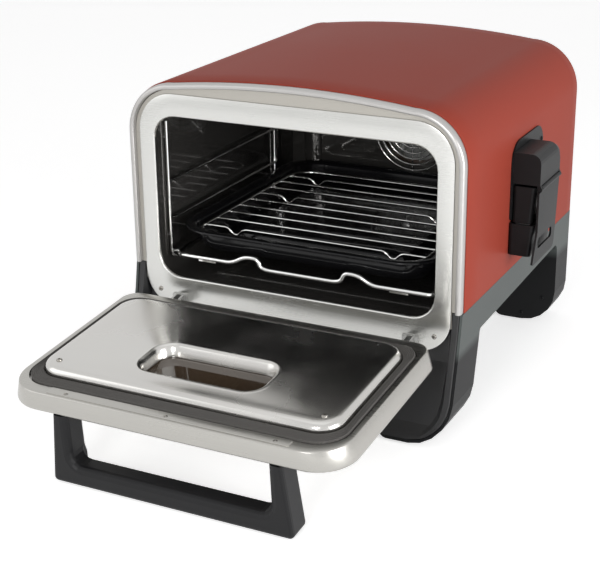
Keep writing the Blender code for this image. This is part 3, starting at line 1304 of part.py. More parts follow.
def smoke_box():
    wall = BODY_HALF + GAP
    face = wall + SMOKE_FLANGE_THICK
    flange = rounded_box(SMOKE_FRONT_Y, SMOKE_REAR_Y, SMOKE_FLANGE_BOTTOM, SMOKE_FLANGE_TOP, BOX_RADIUS,
                         SMOKE_FLANGE_RADIUS)
    to_object("smoke_flange", plate(flange, wall, face, along_x), SMOKE_STEEL)
    inner = face + GAP
    thick = SMOKE_WALL
    hood = to_object("smoke_hood", hood_builder(inner, 0), SMOKE_STEEL)
    cut(hood, hood_builder(inner - CUT_OVER, thick))
    axis_x = BODY_HALF + LID_AXIS_OUT
    for near in (HOOD_FRONT_Y, HOOD_REAR_Y - KNUCKLE_LENGTH):
        ear = [(axis_x + x, LID_AXIS_Z + z) for x, z in arc_points(0, 0, LID_BARREL_RADIUS, 1.0, 2.0, 8)]
        ear += [(axis_x + LID_BARREL_RADIUS, HOOD_BOTTOM + thick / 2),
                (axis_x - LID_BARREL_RADIUS, HOOD_BOTTOM + thick / 2)]
        top = BODY_HALF + HOOD_OUT
        ear = [(min(x, top) if z > LID_AXIS_Z else x, z) for x, z in ear]
        fuse(hood, plate(ear, near, near + KNUCKLE_LENGTH, along_y))
    pin_hole = cylinder((axis_x, HOOD_FRONT_Y - CUT_OVER, LID_AXIS_Z), (axis_x, HOOD_REAR_Y + CUT_OVER, LID_AXIS_Z),
                        LID_PIN_RADIUS + GAP, 12)
    cut(hood, pin_hole)
    pin = cylinder((axis_x, HOOD_FRONT_Y - LID_PIN_RADIUS, LID_AXIS_Z),
                   (axis_x, HOOD_REAR_Y + LID_PIN_RADIUS, LID_AXIS_Z), LID_PIN_RADIUS, 12)
    to_object("smoke_lid_pin", pin, CHROME)
    top_out = BODY_HALF + CHUTE_TOP_OUT
    low_out = BODY_HALF + CHUTE_LOW_OUT
    levels = (
        (CHUTE_BOTTOM, low_out, 0),
        (CHUTE_TOP, top_out, 0),
        (CHUTE_TOP, top_out, thick),
        (CHUTE_BOTTOM, low_out, thick),
    )
    loops = [along_z(rounded_box(inner + inset, out - inset, CHUTE_FRONT_Y + inset, CHUTE_REAR_Y - inset,
                                 BOX_RADIUS - inset, steps=3), z) for z, out, inset in levels]
    chute = to_object("smoke_chute", loft(loops, ring=True), SMOKE_STEEL)
    door_hole = box_outline(CHUTE_FRONT_Y + CHUTE_HOLE_INSET, CHUTE_REAR_Y - CHUTE_HOLE_INSET, CHUTE_HOLE_LOW,
                            CHUTE_HOLE_HIGH)
    cut(chute, plate(door_hole, low_out - 3 * thick, top_out + CUT_OVER, along_x))
    top_out = BODY_HALF + BOX_TOP_OUT
    low_out = BODY_HALF + BOX_LOW_OUT
    levels = (
        (BOX_BOTTOM, low_out, 0),
        (BOX_TOP, top_out, 0),
        (BOX_TOP, top_out, thick),
        (BOX_BOTTOM + thick, low_out, thick),
    )
    loops = [along_z(rounded_box(wall + inset, out - inset, BOX_FRONT_Y + inset, BOX_REAR_Y - inset,
                                 BOX_RADIUS - inset, steps=3), z) for z, out, inset in levels]
    to_object("smoke_tray", loft(loops), SMOKE_STEEL)
    inset = thick + BASKET_CLEAR
    levels = (
        (BOX_BOTTOM + thick + GAP, low_out, inset),
        (BASKET_TOP, low_out, inset),
        (BASKET_TOP, low_out, inset + BASKET_WALL),
        (BOX_BOTTOM + thick + GAP + BASKET_WALL, low_out, inset + BASKET_WALL),
    )
    loops = [along_z(rounded_box(inner + step, out - step, CHUTE_FRONT_Y + step, CHUTE_REAR_Y - step,
                                 BASKET_WALL * 2, steps=2), z) for z, out, step in levels]
    to_object("pellet_basket", loft(loops), CHROME)


def hood_builder(inner, inset):
    """Side profile of the hood, seen from the front, drawn along its length. Its underside is open."""
    outer = BODY_HALF + HOOD_OUT - inset
    top = HOOD_TOP - inset
    bottom = HOOD_BOTTOM if inset == 0 else HOOD_BOTTOM - CUT_OVER
    radius = HOOD_ROUND - inset
    rows = []
    steps = 5
    for y, drop in ((HOOD_FRONT_Y + inset, 0), (HOOD_REAR_Y - HOOD_ROUND, 0),
                    (HOOD_REAR_Y - HOOD_ROUND * 0.3 - inset, HOOD_ROUND * 0.3), (HOOD_REAR_Y - inset, HOOD_ROUND)):
        high = top - drop
        row = [(inner, bottom), (outer, bottom)]
        row += arc_points(outer - radius, high - radius, radius, 0, 0.5, steps)
        row.append((inner, high))
        rows.append(along_y(row, y))
    return loft(rows)


def smoke_lid():
    axis = Vector((BODY_HALF + LID_AXIS_OUT, 0, LID_AXIS_Z))
    empty = hinge_empty("smoke_lid_axis", axis)
    near = BODY_HALF + LID_INNER_OUT - axis.x
    far = near + LID_THICK
    low = LID_BOTTOM - axis.z
    rear = LID_REAR_Y - LID_REAR_SHIFT - LID_CORNER
    front = LID_FRONT_Y - LID_FRONT_SHIFT + LID_FRONT_CORNER
    outline = [(LID_FRONT_Y, LID_KNEE_Z - axis.z), (LID_FRONT_Y, LID_TOP - axis.z), (LID_REAR_Y, LID_TOP - axis.z)]
    outline += arc_points(rear, low + LID_CORNER, LID_CORNER, 0, -0.5, 4)
    outline += arc_points(front, low + LID_FRONT_CORNER, LID_FRONT_CORNER, -0.5, -1.0, 4)
    lid = to_object("smoke_lid", plate(outline, near, far, along_x), SMOKE_STEEL, parent=empty)
    barrel_near = HOOD_FRONT_Y + KNUCKLE_LENGTH + 2 * GAP
    barrel_far = HOOD_REAR_Y - KNUCKLE_LENGTH - 2 * GAP
    fuse(lid, cylinder((0, barrel_near, 0), (0, barrel_far, 0), LID_BARREL_RADIUS, 16))
    cut(lid, cylinder((0, barrel_near - CUT_OVER, 0), (0, barrel_far + CUT_OVER, 0), LID_PIN_RADIUS + GAP, 12))
    for low, high in ((HOOD_FRONT_Y - CUT_OVER * 2, barrel_near), (barrel_far, HOOD_REAR_Y + CUT_OVER)):
        room = box_outline(near - CUT_OVER, far + CUT_OVER, low, high)
        cut(lid, plate(room, -LID_BARREL_RADIUS - 2 * GAP, LID_BARREL_RADIUS, along_z))
    back = LID_REAR_SHIFT - LID_LOOP_INSET
    loop = rounded_box(LID_FRONT_Y - back, LID_REAR_Y - LID_LOOP_INSET - LID_REAR_SHIFT, LID_LOOP_LOW - axis.z,
                       LID_LOOP_TOP - axis.z, LID_CORNER / 2, steps=3)
    cut(lid, plate(loop, near - CUT_OVER, far + CUT_OVER, along_x))


def back_of_oven():
    low = BODY_DEPTH - REAR_THICK
    panel = to_object("rear_cover", plate(cover_outline(BASE_SKIN + GAP, REAR_BOTTOM), low, BODY_DEPTH, along_y),
                      GREY_PLASTIC)
    slots = []
    for side in (-1, 1):
        for index in range(SLOT_COUNT):
            z = SLOT_LOW_Z + SLOT_PITCH * index
            slots.append((side * SLOT_X, z))
    for index in range(DUCT_SLOT_COUNT):
        slots.append((0, DUCT_LOW + DUCT_SLOPE * 3 + SLOT_PITCH * (index + 1)))
    half = SLOT_LENGTH / 2
    slots = [entry for entry in slots if abs(entry[0] - GLAND_X) > half or abs(entry[1] - GLAND_Z) > GLAND_RADIUS * 2]
    cutters = [plate(rounded_box(x - half, x + half, z, z + SLOT_WIDTH, SLOT_WIDTH / 2.01, steps=2),
                     low - CUT_OVER, BODY_DEPTH + CUT_OVER, along_y) for x, z in slots]
    cut(panel, join_builders(cutters))
    cut(panel, plate(circle(GLAND_X, GLAND_Z, GLAND_RADIUS - GLAND_FLANGE + GAP), low - CUT_OVER,
                     BODY_DEPTH + CUT_OVER, along_y))
    near = BODY_DEPTH + GAP
    far = near + DUCT_DEPTH
    radius = DUCT_RADIUS
    slope = DUCT_SLOPE
    thick = SHEET
    levels = ((0, near), (slope, far - slope / 3), (slope * 1.5, far))
    outline = [rounded_box(-DUCT_HALF + inset, DUCT_HALF - inset, DUCT_LOW + inset, DUCT_HIGH - inset,
                           radius) for inset, _ in levels]
    loops = [along_y(line, y) for line, (_, y) in zip(outline, levels)]
    inner = [along_y(rounded_box(-DUCT_HALF + inset + thick, DUCT_HALF - inset - thick, DUCT_LOW + inset + thick,
                                 DUCT_HIGH - inset - thick, radius - thick), y - (thick if y > near else 0))
             for inset, y in levels]
    duct = to_object("rear_duct_cover", loft(loops[::-1] + inner), GREY_PLASTIC)
    cutters = []
    for index in range(DUCT_SLOT_COUNT):
        z = DUCT_LOW + DUCT_SLOPE * 3 + SLOT_PITCH * (index + 1)
        cutters.append(plate(rounded_box(-half, half, z, z + SLOT_WIDTH, SLOT_WIDTH / 2.01, steps=2),
                             far - 3 * thick, far + CUT_OVER, along_y))
    cut(duct, join_builders(cutters))
    flange = plate(circle(GLAND_X, GLAND_Z, GLAND_RADIUS), near, near + GLAND_FLANGE, along_y)
    gland = to_object("cord_gland", flange, RUBBER)
    fuse(gland, plate(circle(GLAND_X, GLAND_Z, GLAND_RADIUS - GLAND_FLANGE), low - GLAND_LENGTH / 3,
                      near + GLAND_LENGTH, along_y))
    cut(gland, plate(circle(GLAND_X, GLAND_Z, GLAND_BORE, 16), low - GLAND_LENGTH, near + GLAND_LENGTH + CUT_OVER,
                     along_y))


cover_and_rim()
face_plate()
front_bulkhead()
cavity()
fan_grille()
convection_fan()
heating_elements()
rack_guide("rack_guide_left", -1)
rack_guide("rack_guide_right", 1)
slide_empty = hinge_empty("rack_slide_origin", (0, 0, 0))
accessory_frame(slide_empty)
pan(slide_empty)
roast_rack(slide_empty)
base_housing()
control_panel = front_panel()
controls(control_panel)
door_empty = hinge_empty("door_axis", (0, DOOR_AXIS_Y, DOOR_AXIS_Z), DOOR_TILT)
door(door_empty)
handle(door_empty)
hinges(door_empty)
smoke_box()
smoke_lid()
back_of_oven()


def place_over_footprint():
    """Move the finished oven so that the origin is at the middle of its footprint with the door open."""
    right = BODY_HALF + LID_AXIS_OUT + LID_BARREL_RADIUS
    door_reach = math.cos(DOOR_TILT) * (DOOR_BOTTOM + DOOR_HEIGHT)
    door_reach += math.sin(DOOR_TILT) * (DOOR_OUTER_FACE + DOOR_THICK - DOOR_EDGE_ROUND / 4)
    front = DOOR_AXIS_Y - door_reach
    back = BODY_DEPTH + GAP + DUCT_DEPTH
    shift = Vector(((right - BODY_HALF) / 2, (front + back) / 2, 0))
    for obj in bpy.context.scene.collection.objects:
        if obj.parent is None:
            obj.location -= shift


place_over_footprint()
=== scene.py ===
import math

import bmesh
import bpy
from mathutils import Matrix, Vector


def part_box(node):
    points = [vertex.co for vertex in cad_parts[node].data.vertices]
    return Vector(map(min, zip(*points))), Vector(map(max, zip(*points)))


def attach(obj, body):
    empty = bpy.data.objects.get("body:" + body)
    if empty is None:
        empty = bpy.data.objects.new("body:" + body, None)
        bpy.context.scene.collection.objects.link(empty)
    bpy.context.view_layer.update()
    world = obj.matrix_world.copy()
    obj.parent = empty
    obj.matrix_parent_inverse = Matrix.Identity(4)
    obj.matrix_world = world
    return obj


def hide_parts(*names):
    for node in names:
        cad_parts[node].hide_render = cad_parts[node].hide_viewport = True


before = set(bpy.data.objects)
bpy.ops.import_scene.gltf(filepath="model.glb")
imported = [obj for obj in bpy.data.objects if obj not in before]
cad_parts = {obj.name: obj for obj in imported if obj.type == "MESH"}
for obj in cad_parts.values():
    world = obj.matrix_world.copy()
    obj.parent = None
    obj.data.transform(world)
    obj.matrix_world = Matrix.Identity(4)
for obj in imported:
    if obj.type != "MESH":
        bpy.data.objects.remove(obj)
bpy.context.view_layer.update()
print("oven frame loaded:", len(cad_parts), "nodes")

scene = bpy.context.scene

# the oven is drawn from the front rim's middle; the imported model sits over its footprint
place = {"acrossShift": 0.0191, "backShift": 0.07816}
hinge = {"y": -0.0224, "z": 0.1035, "droop": math.radians(4.45)}


def at(x, y, z):
    return Vector((x - place["acrossShift"], y - place["backShift"], z))


doorTurn = Matrix.Translation(at(0, hinge["y"], hinge["z"])) @ Matrix.Rotation(hinge["droop"], 4, "X")
doorUp = doorTurn.to_3x3() @ Vector((0, 0, 1))


def onDoor(x, out, height):
    # out is the way from the hinge to the free edge, height the way from the hinge to the inside
    return doorTurn @ Vector((x, -out, height))


# shader node groups: each gives a colour, a roughness and a height only

def newGroup(name, settings):
    # a setting of three numbers is a vector, one of four a colour
    tree = bpy.data.node_groups.new(name, "ShaderNodeTree")
    for label, start in settings.items():
        kind = "Float" if isinstance(start, float) else "Vector" if len(start) == 3 else "Color"
        socket = tree.interface.new_socket(name=label, in_out="INPUT", socket_type="NodeSocket" + kind)
        socket.default_value = start
    for label, kind in (("Colour", "Color"), ("Roughness", "Float"), ("Height", "Float")):
        tree.interface.new_socket(name=label, in_out="OUTPUT", socket_type="NodeSocket" + kind)
    return tree, tree.nodes.new("NodeGroupInput").outputs


def giveOut(tree, colour, roughness, height):
    results = tree.nodes.new("NodeGroupOutput").inputs
    for label, value in (("Colour", colour), ("Roughness", roughness), ("Height", height)):
        tree.links.new(value, results[label])
    return tree


def feed(tree, socket, value):
    # a number or a colour is set, and anything else is linked
    if isinstance(value, (int, float)):
        socket.default_value = value
    elif isinstance(value, tuple):
        socket.default_value = (*value, 1)
    else:
        tree.links.new(value, socket)


def mathNode(tree, operation, first, second, clamp=False):
    node = tree.nodes.new("ShaderNodeMath")
    node.operation = operation
    node.use_clamp = clamp
    feed(tree, node.inputs[0], first)
    feed(tree, node.inputs[1], second)
    return node.outputs[0]


def mixColour(tree, factor, first, second):
    node = tree.nodes.new("ShaderNodeMix")
    node.data_type = "RGBA"
    for index, value in ((0, factor), (6, first), (7, second)):
        feed(tree, node.inputs[index], value)
    return node.outputs[2]


def shadeColour(tree, colour, factor):
    # the colour made lighter or darker by the factor
    node = tree.nodes.new("ShaderNodeVectorMath")
    node.operation = "SCALE"
    feed(tree, node.inputs[0], colour)
    feed(tree, node.inputs["Scale"], factor)
    return node.outputs[0]


def noise(tree, vector, scale, detail, roughness=0.5):
    node = tree.nodes.new("ShaderNodeTexNoise")
    for label, value in (("Vector", vector), ("Scale", scale), ("Detail", detail), ("Roughness", roughness)):
        feed(tree, node.inputs[label], value)
    return node.outputs["Fac"]


def ramp(tree, value, low, high):
    node = tree.nodes.new("ShaderNodeMapRange")
    for label, amount in (("Value", value), ("From Min", low), ("From Max", high)):
        feed(tree, node.inputs[label], amount)
    return node.outputs["Result"]


def objectPlace(tree):
    return tree.nodes.new("ShaderNodeTexCoord").outputs["Object"]


def makeGrainGroup():
    # fine random grain for paint and moulded plastic, with slow shade drift
    tree, given = newGroup("paintAndMouldGrain", {
        "Colour": (0.5, 0.5, 0.5, 1), "Grain Scale": 2200.0, "Drift": 0.06, "Roughness": 0.5,
        "Roughness Drift": 0.06})
    where = objectPlace(tree)
    shade = mathNode(tree, "SUBTRACT", noise(tree, where, 9.0, 3), 0.5)
    lighter = mathNode(tree, "ADD", mathNode(tree, "MULTIPLY", shade, given["Drift"]), 1.0)
    rough = mathNode(tree, "MULTIPLY", shade, given["Roughness Drift"])
    rough = mathNode(tree, "ADD", rough, given["Roughness"])
    grain = noise(tree, where, given["Grain Scale"], 3)
    return giveOut(tree, shadeColour(tree, given["Colour"], lighter), rough, grain)


def makeBrushedGroup():
    # long fine streaks along one axis, as brushing leaves them
    tree, given = newGroup("brushedStreaks", {
        "Colour": (0.5, 0.5, 0.5, 1), "Streak Stretch": (20.0, 900.0, 900.0), "Contrast": 0.12,
        "Roughness": 0.3})
    where = objectPlace(tree)
    stretch = tree.nodes.new("ShaderNodeVectorMath")
    stretch.operation = "MULTIPLY"
    feed(tree, stretch.inputs[0], where)
    feed(tree, stretch.inputs[1], given["Streak Stretch"])
    streak = noise(tree, stretch.outputs[0], 1.0, 4, 0.6)
    amount = mathNode(tree, "MULTIPLY", mathNode(tree, "SUBTRACT", streak, 0.5), given["Contrast"])
    lighter = mathNode(tree, "ADD", amount, 1.0)
    smudge = mathNode(tree, "SUBTRACT", noise(tree, where, 14.0, 4), 0.5)
    smear = mathNode(tree, "MULTIPLY", smudge, 0.12)
    rough = mathNode(tree, "ADD", mathNode(tree, "ADD", amount, smear), given["Roughness"])
    return giveOut(tree, shadeColour(tree, given["Colour"], lighter), rough, streak)


def makeEnamelGroup():
    # glossy enamel: pinpoint flecks and a faint orange-peel swell
    tree, given = newGroup("enamelFlecks", {
        "Colour": (0.01, 0.01, 0.011, 1), "Fleck Colour": (0.2, 0.2, 0.2, 1), "Fleck Scale": 520.0,
        "Fleck Amount": 0.12, "Roughness": 0.12})
    where = objectPlace(tree)
    cell = tree.nodes.new("ShaderNodeTexVoronoi")
    feed(tree, cell.inputs["Vector"], where)
    feed(tree, cell.inputs["Scale"], given["Fleck Scale"])
    spot = ramp(tree, cell.outputs["Distance"], 0.20, 0.10)
    spot = mathNode(tree, "MULTIPLY", spot, given["Fleck Amount"], clamp=True)
    smear = mathNode(tree, "MULTIPLY", noise(tree, where, 16.0, 4), 0.10)
    rough = mathNode(tree, "ADD", smear, given["Roughness"])
    swell = noise(tree, where, 90.0, 2)
    return giveOut(tree, mixColour(tree, spot, given["Colour"], given["Fleck Colour"]), rough, swell)


def makeTarnishGroup():
    # polished wire or sheet with slow patches of duller, warmer metal
    tree, given = newGroup("heatTarnish", {
        "Colour": (0.7, 0.7, 0.7, 1), "Warm Colour": (0.5, 0.45, 0.38, 1), "Patch Scale": 30.0,
        "Amount": 0.2, "Roughness": 0.12})
    where = objectPlace(tree)
    patch = ramp(tree, noise(tree, where, given["Patch Scale"], 4), 0.45, 0.7)
    amount = mathNode(tree, "MULTIPLY", patch, given["Amount"], clamp=True)
    rough = mathNode(tree, "ADD", mathNode(tree, "MULTIPLY", amount, 0.5), given["Roughness"])
    grain = noise(tree, where, 400.0, 3)
    return giveOut(tree, mixColour(tree, amount, given["Colour"], given["Warm Colour"]), rough, grain)


def makeWeaveGroup():
    # two crossed sets of threads, as on a woven seal sleeve
    tree, given = newGroup("wovenThreads", {
        "Colour": (0.1, 0.1, 0.1, 1), "Thread Colour": (0.2, 0.2, 0.2, 1), "Thread Scale": 260.0,
        "Roughness": 0.8})
    where = objectPlace(tree)
    waves = []
    for turn in (45, -45):
        spin = tree.nodes.new("ShaderNodeMapping")
        spin.inputs["Rotation"].default_value = (0, 0, math.radians(turn))
        feed(tree, spin.inputs["Vector"], where)
        wave = tree.nodes.new("ShaderNodeTexWave")
        feed(tree, wave.inputs["Vector"], spin.outputs[0])
        feed(tree, wave.inputs["Scale"], given["Thread Scale"])
        wave.inputs["Distortion"].default_value = 0.6
        waves.append(wave.outputs["Fac"])
    fluff = noise(tree, where, 1800.0, 2)
    height = mathNode(tree, "ADD", mathNode(tree, "MULTIPLY", *waves), mathNode(tree, "MULTIPLY", fluff, 0.4))
    rough = mathNode(tree, "ADD", given["Roughness"], mathNode(tree, "MULTIPLY", fluff, 0.1))
    return giveOut(tree, mixColour(tree, height, given["Colour"], given["Thread Colour"]), rough, height)


grainGroup = makeGrainGroup()
brushedGroup = makeBrushedGroup()
enamelGroup = makeEnamelGroup()
tarnishGroup = makeTarnishGroup()
weaveGroup = makeWeaveGroup()


def makeFinish(name, group, values, plain=None, bump=0.0, bumpDepth=0.0001):
    # one material: the group's colour, roughness and height drive a Principled shader
    finish = bpy.data.materials.new(name)
    finish.use_nodes = True
    tree = finish.node_tree
    shader = tree.nodes["Principled BSDF"]
    effect = tree.nodes.new("ShaderNodeGroup")
    effect.node_tree = group
    for label, value in values.items():
        effect.inputs[label].default_value = (*value, 1) if label.endswith("Colour") else value
    feed(tree, shader.inputs["Base Color"], effect.outputs["Colour"])
    feed(tree, shader.inputs["Roughness"], effect.outputs["Roughness"])
    for label, value in (plain or {}).items():
        shader.inputs[label].default_value = value
    if bump:
        relief = tree.nodes.new("ShaderNodeBump")
        feed(tree, relief.inputs["Strength"], bump)
        feed(tree, relief.inputs["Distance"], bumpDepth)
        feed(tree, relief.inputs["Height"], effect.outputs["Height"])
        feed(tree, shader.inputs["Normal"], relief.outputs["Normal"])
    return finish


paints = {"terracotta": (0.34, 0.056, 0.036), "rimSilver": (0.47, 0.46, 0.45), "bulkhead": (0.46, 0.44, 0.40),
          "smokeGrey": (0.0095, 0.0098, 0.0105), "rearGrey": (0.03, 0.031, 0.032),
          # the grey of the band under the cover is painted light, and the near black of the legs below it is
          # painted shade
          "skirtLitGrey": (0.088, 0.099, 0.096), "legShadeBlack": (0.0095, 0.0098, 0.0105),
          "consoleBlack": (0.012, 0.012, 0.013), "handleBlack": (0.0085, 0.0085, 0.0095),
          "capGrey": (0.08, 0.08, 0.085), "boardGreen": (0.02, 0.11, 0.05), "footBlack": (0.015, 0.015, 0.015),
          "screenBlack": (0.006, 0.006, 0.008), "print": (0.62, 0.62, 0.60)}


def makePaint(name, colour, roughness, grainScale=2200.0, plain=None, bump=0.0, bumpDepth=0.0001, drift=0.06):
    values = {"Colour": paints[colour], "Grain Scale": grainScale, "Drift": drift, "Roughness": roughness}
    return makeFinish(name, grainGroup, values, plain, bump, bumpDepth)


terracottaPaint = makePaint("terracottaPaint", "terracotta", 0.48, 1500.0, {"Specular IOR Level": 0.05}, 0.12,
                            0.0002, 0.05)
rimPaint = makePaint("rimPaint", "rimSilver", 0.34, 2600.0, {"Metallic": 0.7}, 0.08)
bulkheadPaint = makePaint("bulkheadPaint", "bulkhead", 0.45, plain={"Metallic": 0.4}, bump=0.08)
smokePaint = makePaint("smokePaint", "smokeGrey", 0.42, 1700.0, {"Specular IOR Level": 0.14}, 0.25, 0.0002)
rearPaint = makePaint("rearPaint", "rearGrey", 0.55, 1300.0, None, 0.35, 0.0002)
# the base housing's plastic; its colour is replaced below by painted light on the band and painted shade on
# the legs
skirtPlasticWithPaintedLight = makePaint("skirtPlasticWithPaintedLight", "skirtLitGrey", 0.46, 1400.0, {"Specular IOR Level": 0.14}, 0.35, 0.0002)
consolePlastic = makePaint("consolePlastic", "consoleBlack", 0.40, 1700.0, None, 0.25, 0.0002)
handlePlastic = makePaint("handlePlastic", "handleBlack", 0.44, 1900.0, {"Specular IOR Level": 0.25}, 0.3,
                          0.0002)
capPlastic = makePaint("capPlastic", "capGrey", 0.45, bump=0.2)
boardResin = makePaint("boardResin", "boardGreen", 0.5, bump=0.1)
footRubber = makePaint("footRubber", "footBlack", 0.8, bump=0.4)
printInk = makePaint("printInk", "print", 0.5, bump=0.1)
screenGloss = makePaint("screenGloss", "screenBlack", 0.08)

steel = {"doorBand": (0.43, 0.42, 0.395), "plate": (0.60, 0.60, 0.58), "mirror": (0.57, 0.56, 0.54),
         "plain": (0.45, 0.45, 0.44), "wire": (0.78, 0.78, 0.77), "hot": (0.20, 0.185, 0.17),
         "screw": (0.30, 0.29, 0.27)}
bare = {"Metallic": 1.0}
doorSteel = makeFinish("doorSteel", brushedGroup, {
    "Colour": steel["doorBand"], "Streak Stretch": (14.0, 900.0, 900.0), "Contrast": 0.14, "Roughness": 0.30},
    bare, 0.05)
plateSteel = makeFinish("plateSteel", brushedGroup, {
    "Colour": steel["plate"], "Streak Stretch": (14.0, 900.0, 900.0), "Contrast": 0.10, "Roughness": 0.26},
    bare, 0.04)
plainSteel = makeFinish("plainSteel", brushedGroup, {
    "Colour": steel["plain"], "Streak Stretch": (300.0, 300.0, 40.0), "Contrast": 0.10, "Roughness": 0.36},
    bare, 0.05)
mirrorSteel = makeFinish("mirrorSteel", tarnishGroup, {
    "Colour": steel["mirror"], "Warm Colour": (0.62, 0.60, 0.57), "Patch Scale": 9.0, "Amount": 0.25,
    "Roughness": 0.20}, bare, 0.02)
chromeWire = makeFinish("chromeWire", tarnishGroup, {
    "Colour": steel["wire"], "Patch Scale": 40.0, "Amount": 0.12, "Roughness": 0.10}, bare, 0.02)
screwSteel = makeFinish("screwSteel", tarnishGroup, {
    "Colour": steel["screw"], "Patch Scale": 90.0, "Amount": 0.3, "Roughness": 0.24}, bare, 0.05)
hotSteel = makeFinish("hotSteel", tarnishGroup, {
    "Colour": steel["hot"], "Warm Colour": (0.16, 0.10, 0.07), "Amount": 0.6, "Roughness": 0.35},
    {"Metallic": 0.9}, 0.1)
cavityEnamel = makeFinish("cavityEnamel", enamelGroup, {
    "Colour": (0.085, 0.081, 0.076), "Fleck Amount": 0.04, "Roughness": 0.03},
    {"Metallic": 0.55, "Coat Weight": 0.6, "Coat Roughness": 0.04}, 0.03, 0.0004)
panEnamel = makeFinish("panEnamel", enamelGroup, {
    "Colour": (0.007, 0.007, 0.008), "Fleck Amount": 0.03, "Roughness": 0.07},
    {"Coat Weight": 0.08, "Coat Roughness": 0.03, "Specular IOR Level": 0.25}, 0.02, 0.0004)
sealCloth = makeFinish("sealCloth", weaveGroup, {
    "Colour": (0.040, 0.037, 0.034), "Thread Colour": (0.135, 0.128, 0.120), "Roughness": 0.72},
    None, 0.6, 0.0004)
tintedGlass = makeFinish("tintedGlass", tarnishGroup, {
    "Colour": (0.070, 0.048, 0.031), "Warm Colour": (0.048, 0.030, 0.018), "Patch Scale": 12.0, "Amount": 0.4,
    "Roughness": 0.03}, {"Coat Weight": 0.7, "Coat Roughness": 0.03, "Alpha": 0.96})


def paintSkirtLightAndLegShade(finish, split=0.108, spread=0.012):
    # painted light and shade: the band under the cover is painted lighter grey, standing for the light on its
    # lit side, and the legs below it near black, standing for the shade under the cover
    tree = finish.node_tree
    effect = next(node for node in tree.nodes if node.type == "GROUP")
    parts = tree.nodes.new("ShaderNodeSeparateXYZ")
    feed(tree, parts.inputs[0], objectPlace(tree))
    height = ramp(tree, parts.outputs["Z"], split - spread, split)
    feed(tree, effect.inputs["Colour"], mixColour(tree, height, paints["legShadeBlack"], paints["skirtLitGrey"]))


# paints the light on the band and the shade on the legs into the base housing's colour, split by height
paintSkirtLightAndLegShade(skirtPlasticWithPaintedLight)
print("finishes made")

nodesByFinish = (
    (terracottaPaint, "outer_cover"), (rimPaint, "front_rim"), (plateSteel, "face_plate"),
    (bulkheadPaint, "front_bulkhead"), (cavityEnamel, "cavity_liner cavity_back"), (panEnamel, "pan"),
    (chromeWire, "fan_grille temperature_probe rack_guide_left rack_guide_right accessory_frame roast_rack"),
    (chromeWire, "hinge_pin_left hinge_pin_right"), (hotSteel, "fan_shroud upper_element lower_element"),
    (plainSteel, "convection_fan fan_motor control_box_lid door_lug_left door_lug_right pellet_basket"),
    (plainSteel, "hinge_bracket_left hinge_bracket_right"), (skirtPlasticWithPaintedLight, "base_housing"),
    (consolePlastic, "front_panel"), (boardResin, "control_board"), (screenGloss, "display_window"),
    (handlePlastic, "left_dial right_dial door_handle"), (capPlastic, "button_1 button_2"),
    (doorSteel, "door_shell"), (sealCloth, "door_gasket"), (mirrorSteel, "door_inner_panel"),
    (tintedGlass, "door_outer_glass door_inner_glass"), (rearPaint, "rear_cover rear_duct_cover"),
    (smokePaint, "smoke_flange smoke_hood smoke_lid_pin smoke_chute smoke_tray smoke_lid"),
    (footRubber, "cord_gland foot_left_front foot_left_rear foot_right_front foot_right_rear"))
for finish, nodeNames in nodesByFinish:
    for nodeName in nodeNames.split():
        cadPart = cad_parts[nodeName]
        cadPart.data.materials.clear()
        cadPart.data.materials.append(finish)
print("finishes on the frame's own parts")

# soft edges on the plain solids that stay
nodesByEdge = {
    0.0003: "left_dial right_dial", 0.0004: "button_1 button_2 smoke_chute",
    0.0005: "smoke_flange rear_cover smoke_tray", 0.0006: "smoke_lid door_lug_left door_lug_right cord_gland",
    0.0008: "foot_left_front foot_left_rear foot_right_front foot_right_rear",
    0.0010: "front_panel rear_duct_cover", 0.0012: "base_housing"}
for width, nodeNames in nodesByEdge.items():
    for nodeName in nodeNames.split():
        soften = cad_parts[nodeName].modifiers.new("softEdges", "BEVEL")
        soften.width = width
        soften.segments = 2
        soften.limit_method = "ANGLE"
        soften.angle_limit = math.radians(40)


# mesh helpers: loops of points, skins between them, wires and screws

def roundedLoop(uLow, uHigh, vLow, vHigh, lowRadius, highRadius, steps, sidePoints):
    corners = ((uHigh - highRadius, vHigh - highRadius, highRadius, 0),
               (uLow + highRadius, vHigh - highRadius, highRadius, 90),
               (uLow + lowRadius, vLow + lowRadius, lowRadius, 180),
               (uHigh - lowRadius, vLow + lowRadius, lowRadius, 270))
    loop = []
    for number, (u, v, radius, start) in enumerate(corners):
        for step in range(steps + 1):
            angle = math.radians(start + 90 * step / steps)
            loop.append((u + radius * math.cos(angle), v + radius * math.sin(angle)))
        nextU, nextV, nextRadius, nextStart = corners[(number + 1) % 4]
        angle = math.radians(nextStart)
        last = loop[-1]
        target = (nextU + nextRadius * math.cos(angle), nextV + nextRadius * math.sin(angle))
        for step in range(1, sidePoints + 1):
            share = step / (sidePoints + 1)
            loop.append((last[0] + (target[0] - last[0]) * share, last[1] + (target[1] - last[1]) * share))
    return loop


def grownLoop(form, grow, steps=12, sidePoints=6):
    # a form's rounded outline, larger by grow on every side
    radii = [form.get(key, form.get("radius")) + grow for key in ("lowRadius", "highRadius")]
    half = form["half"] + grow
    return roundedLoop(-half, half, form["low"] - grow, form["high"] + grow, *radii, steps, sidePoints)


def roundLoop(u, v, radius, steps):
    turns = [2 * math.pi * step / steps for step in range(steps)]
    return [(u + radius * math.cos(turn), v + radius * math.sin(turn)) for turn in turns]


def joinRows(maker, first, second, slip=0, closed=True):
    # faces between two rows of corners; slip turns the second row against the first
    count = len(first)
    for index in range(count if closed else count - 1):
        after = index + 1
        maker.faces.new((first[index], first[after % count], second[(after + slip) % count],
                         second[(index + slip) % count]))


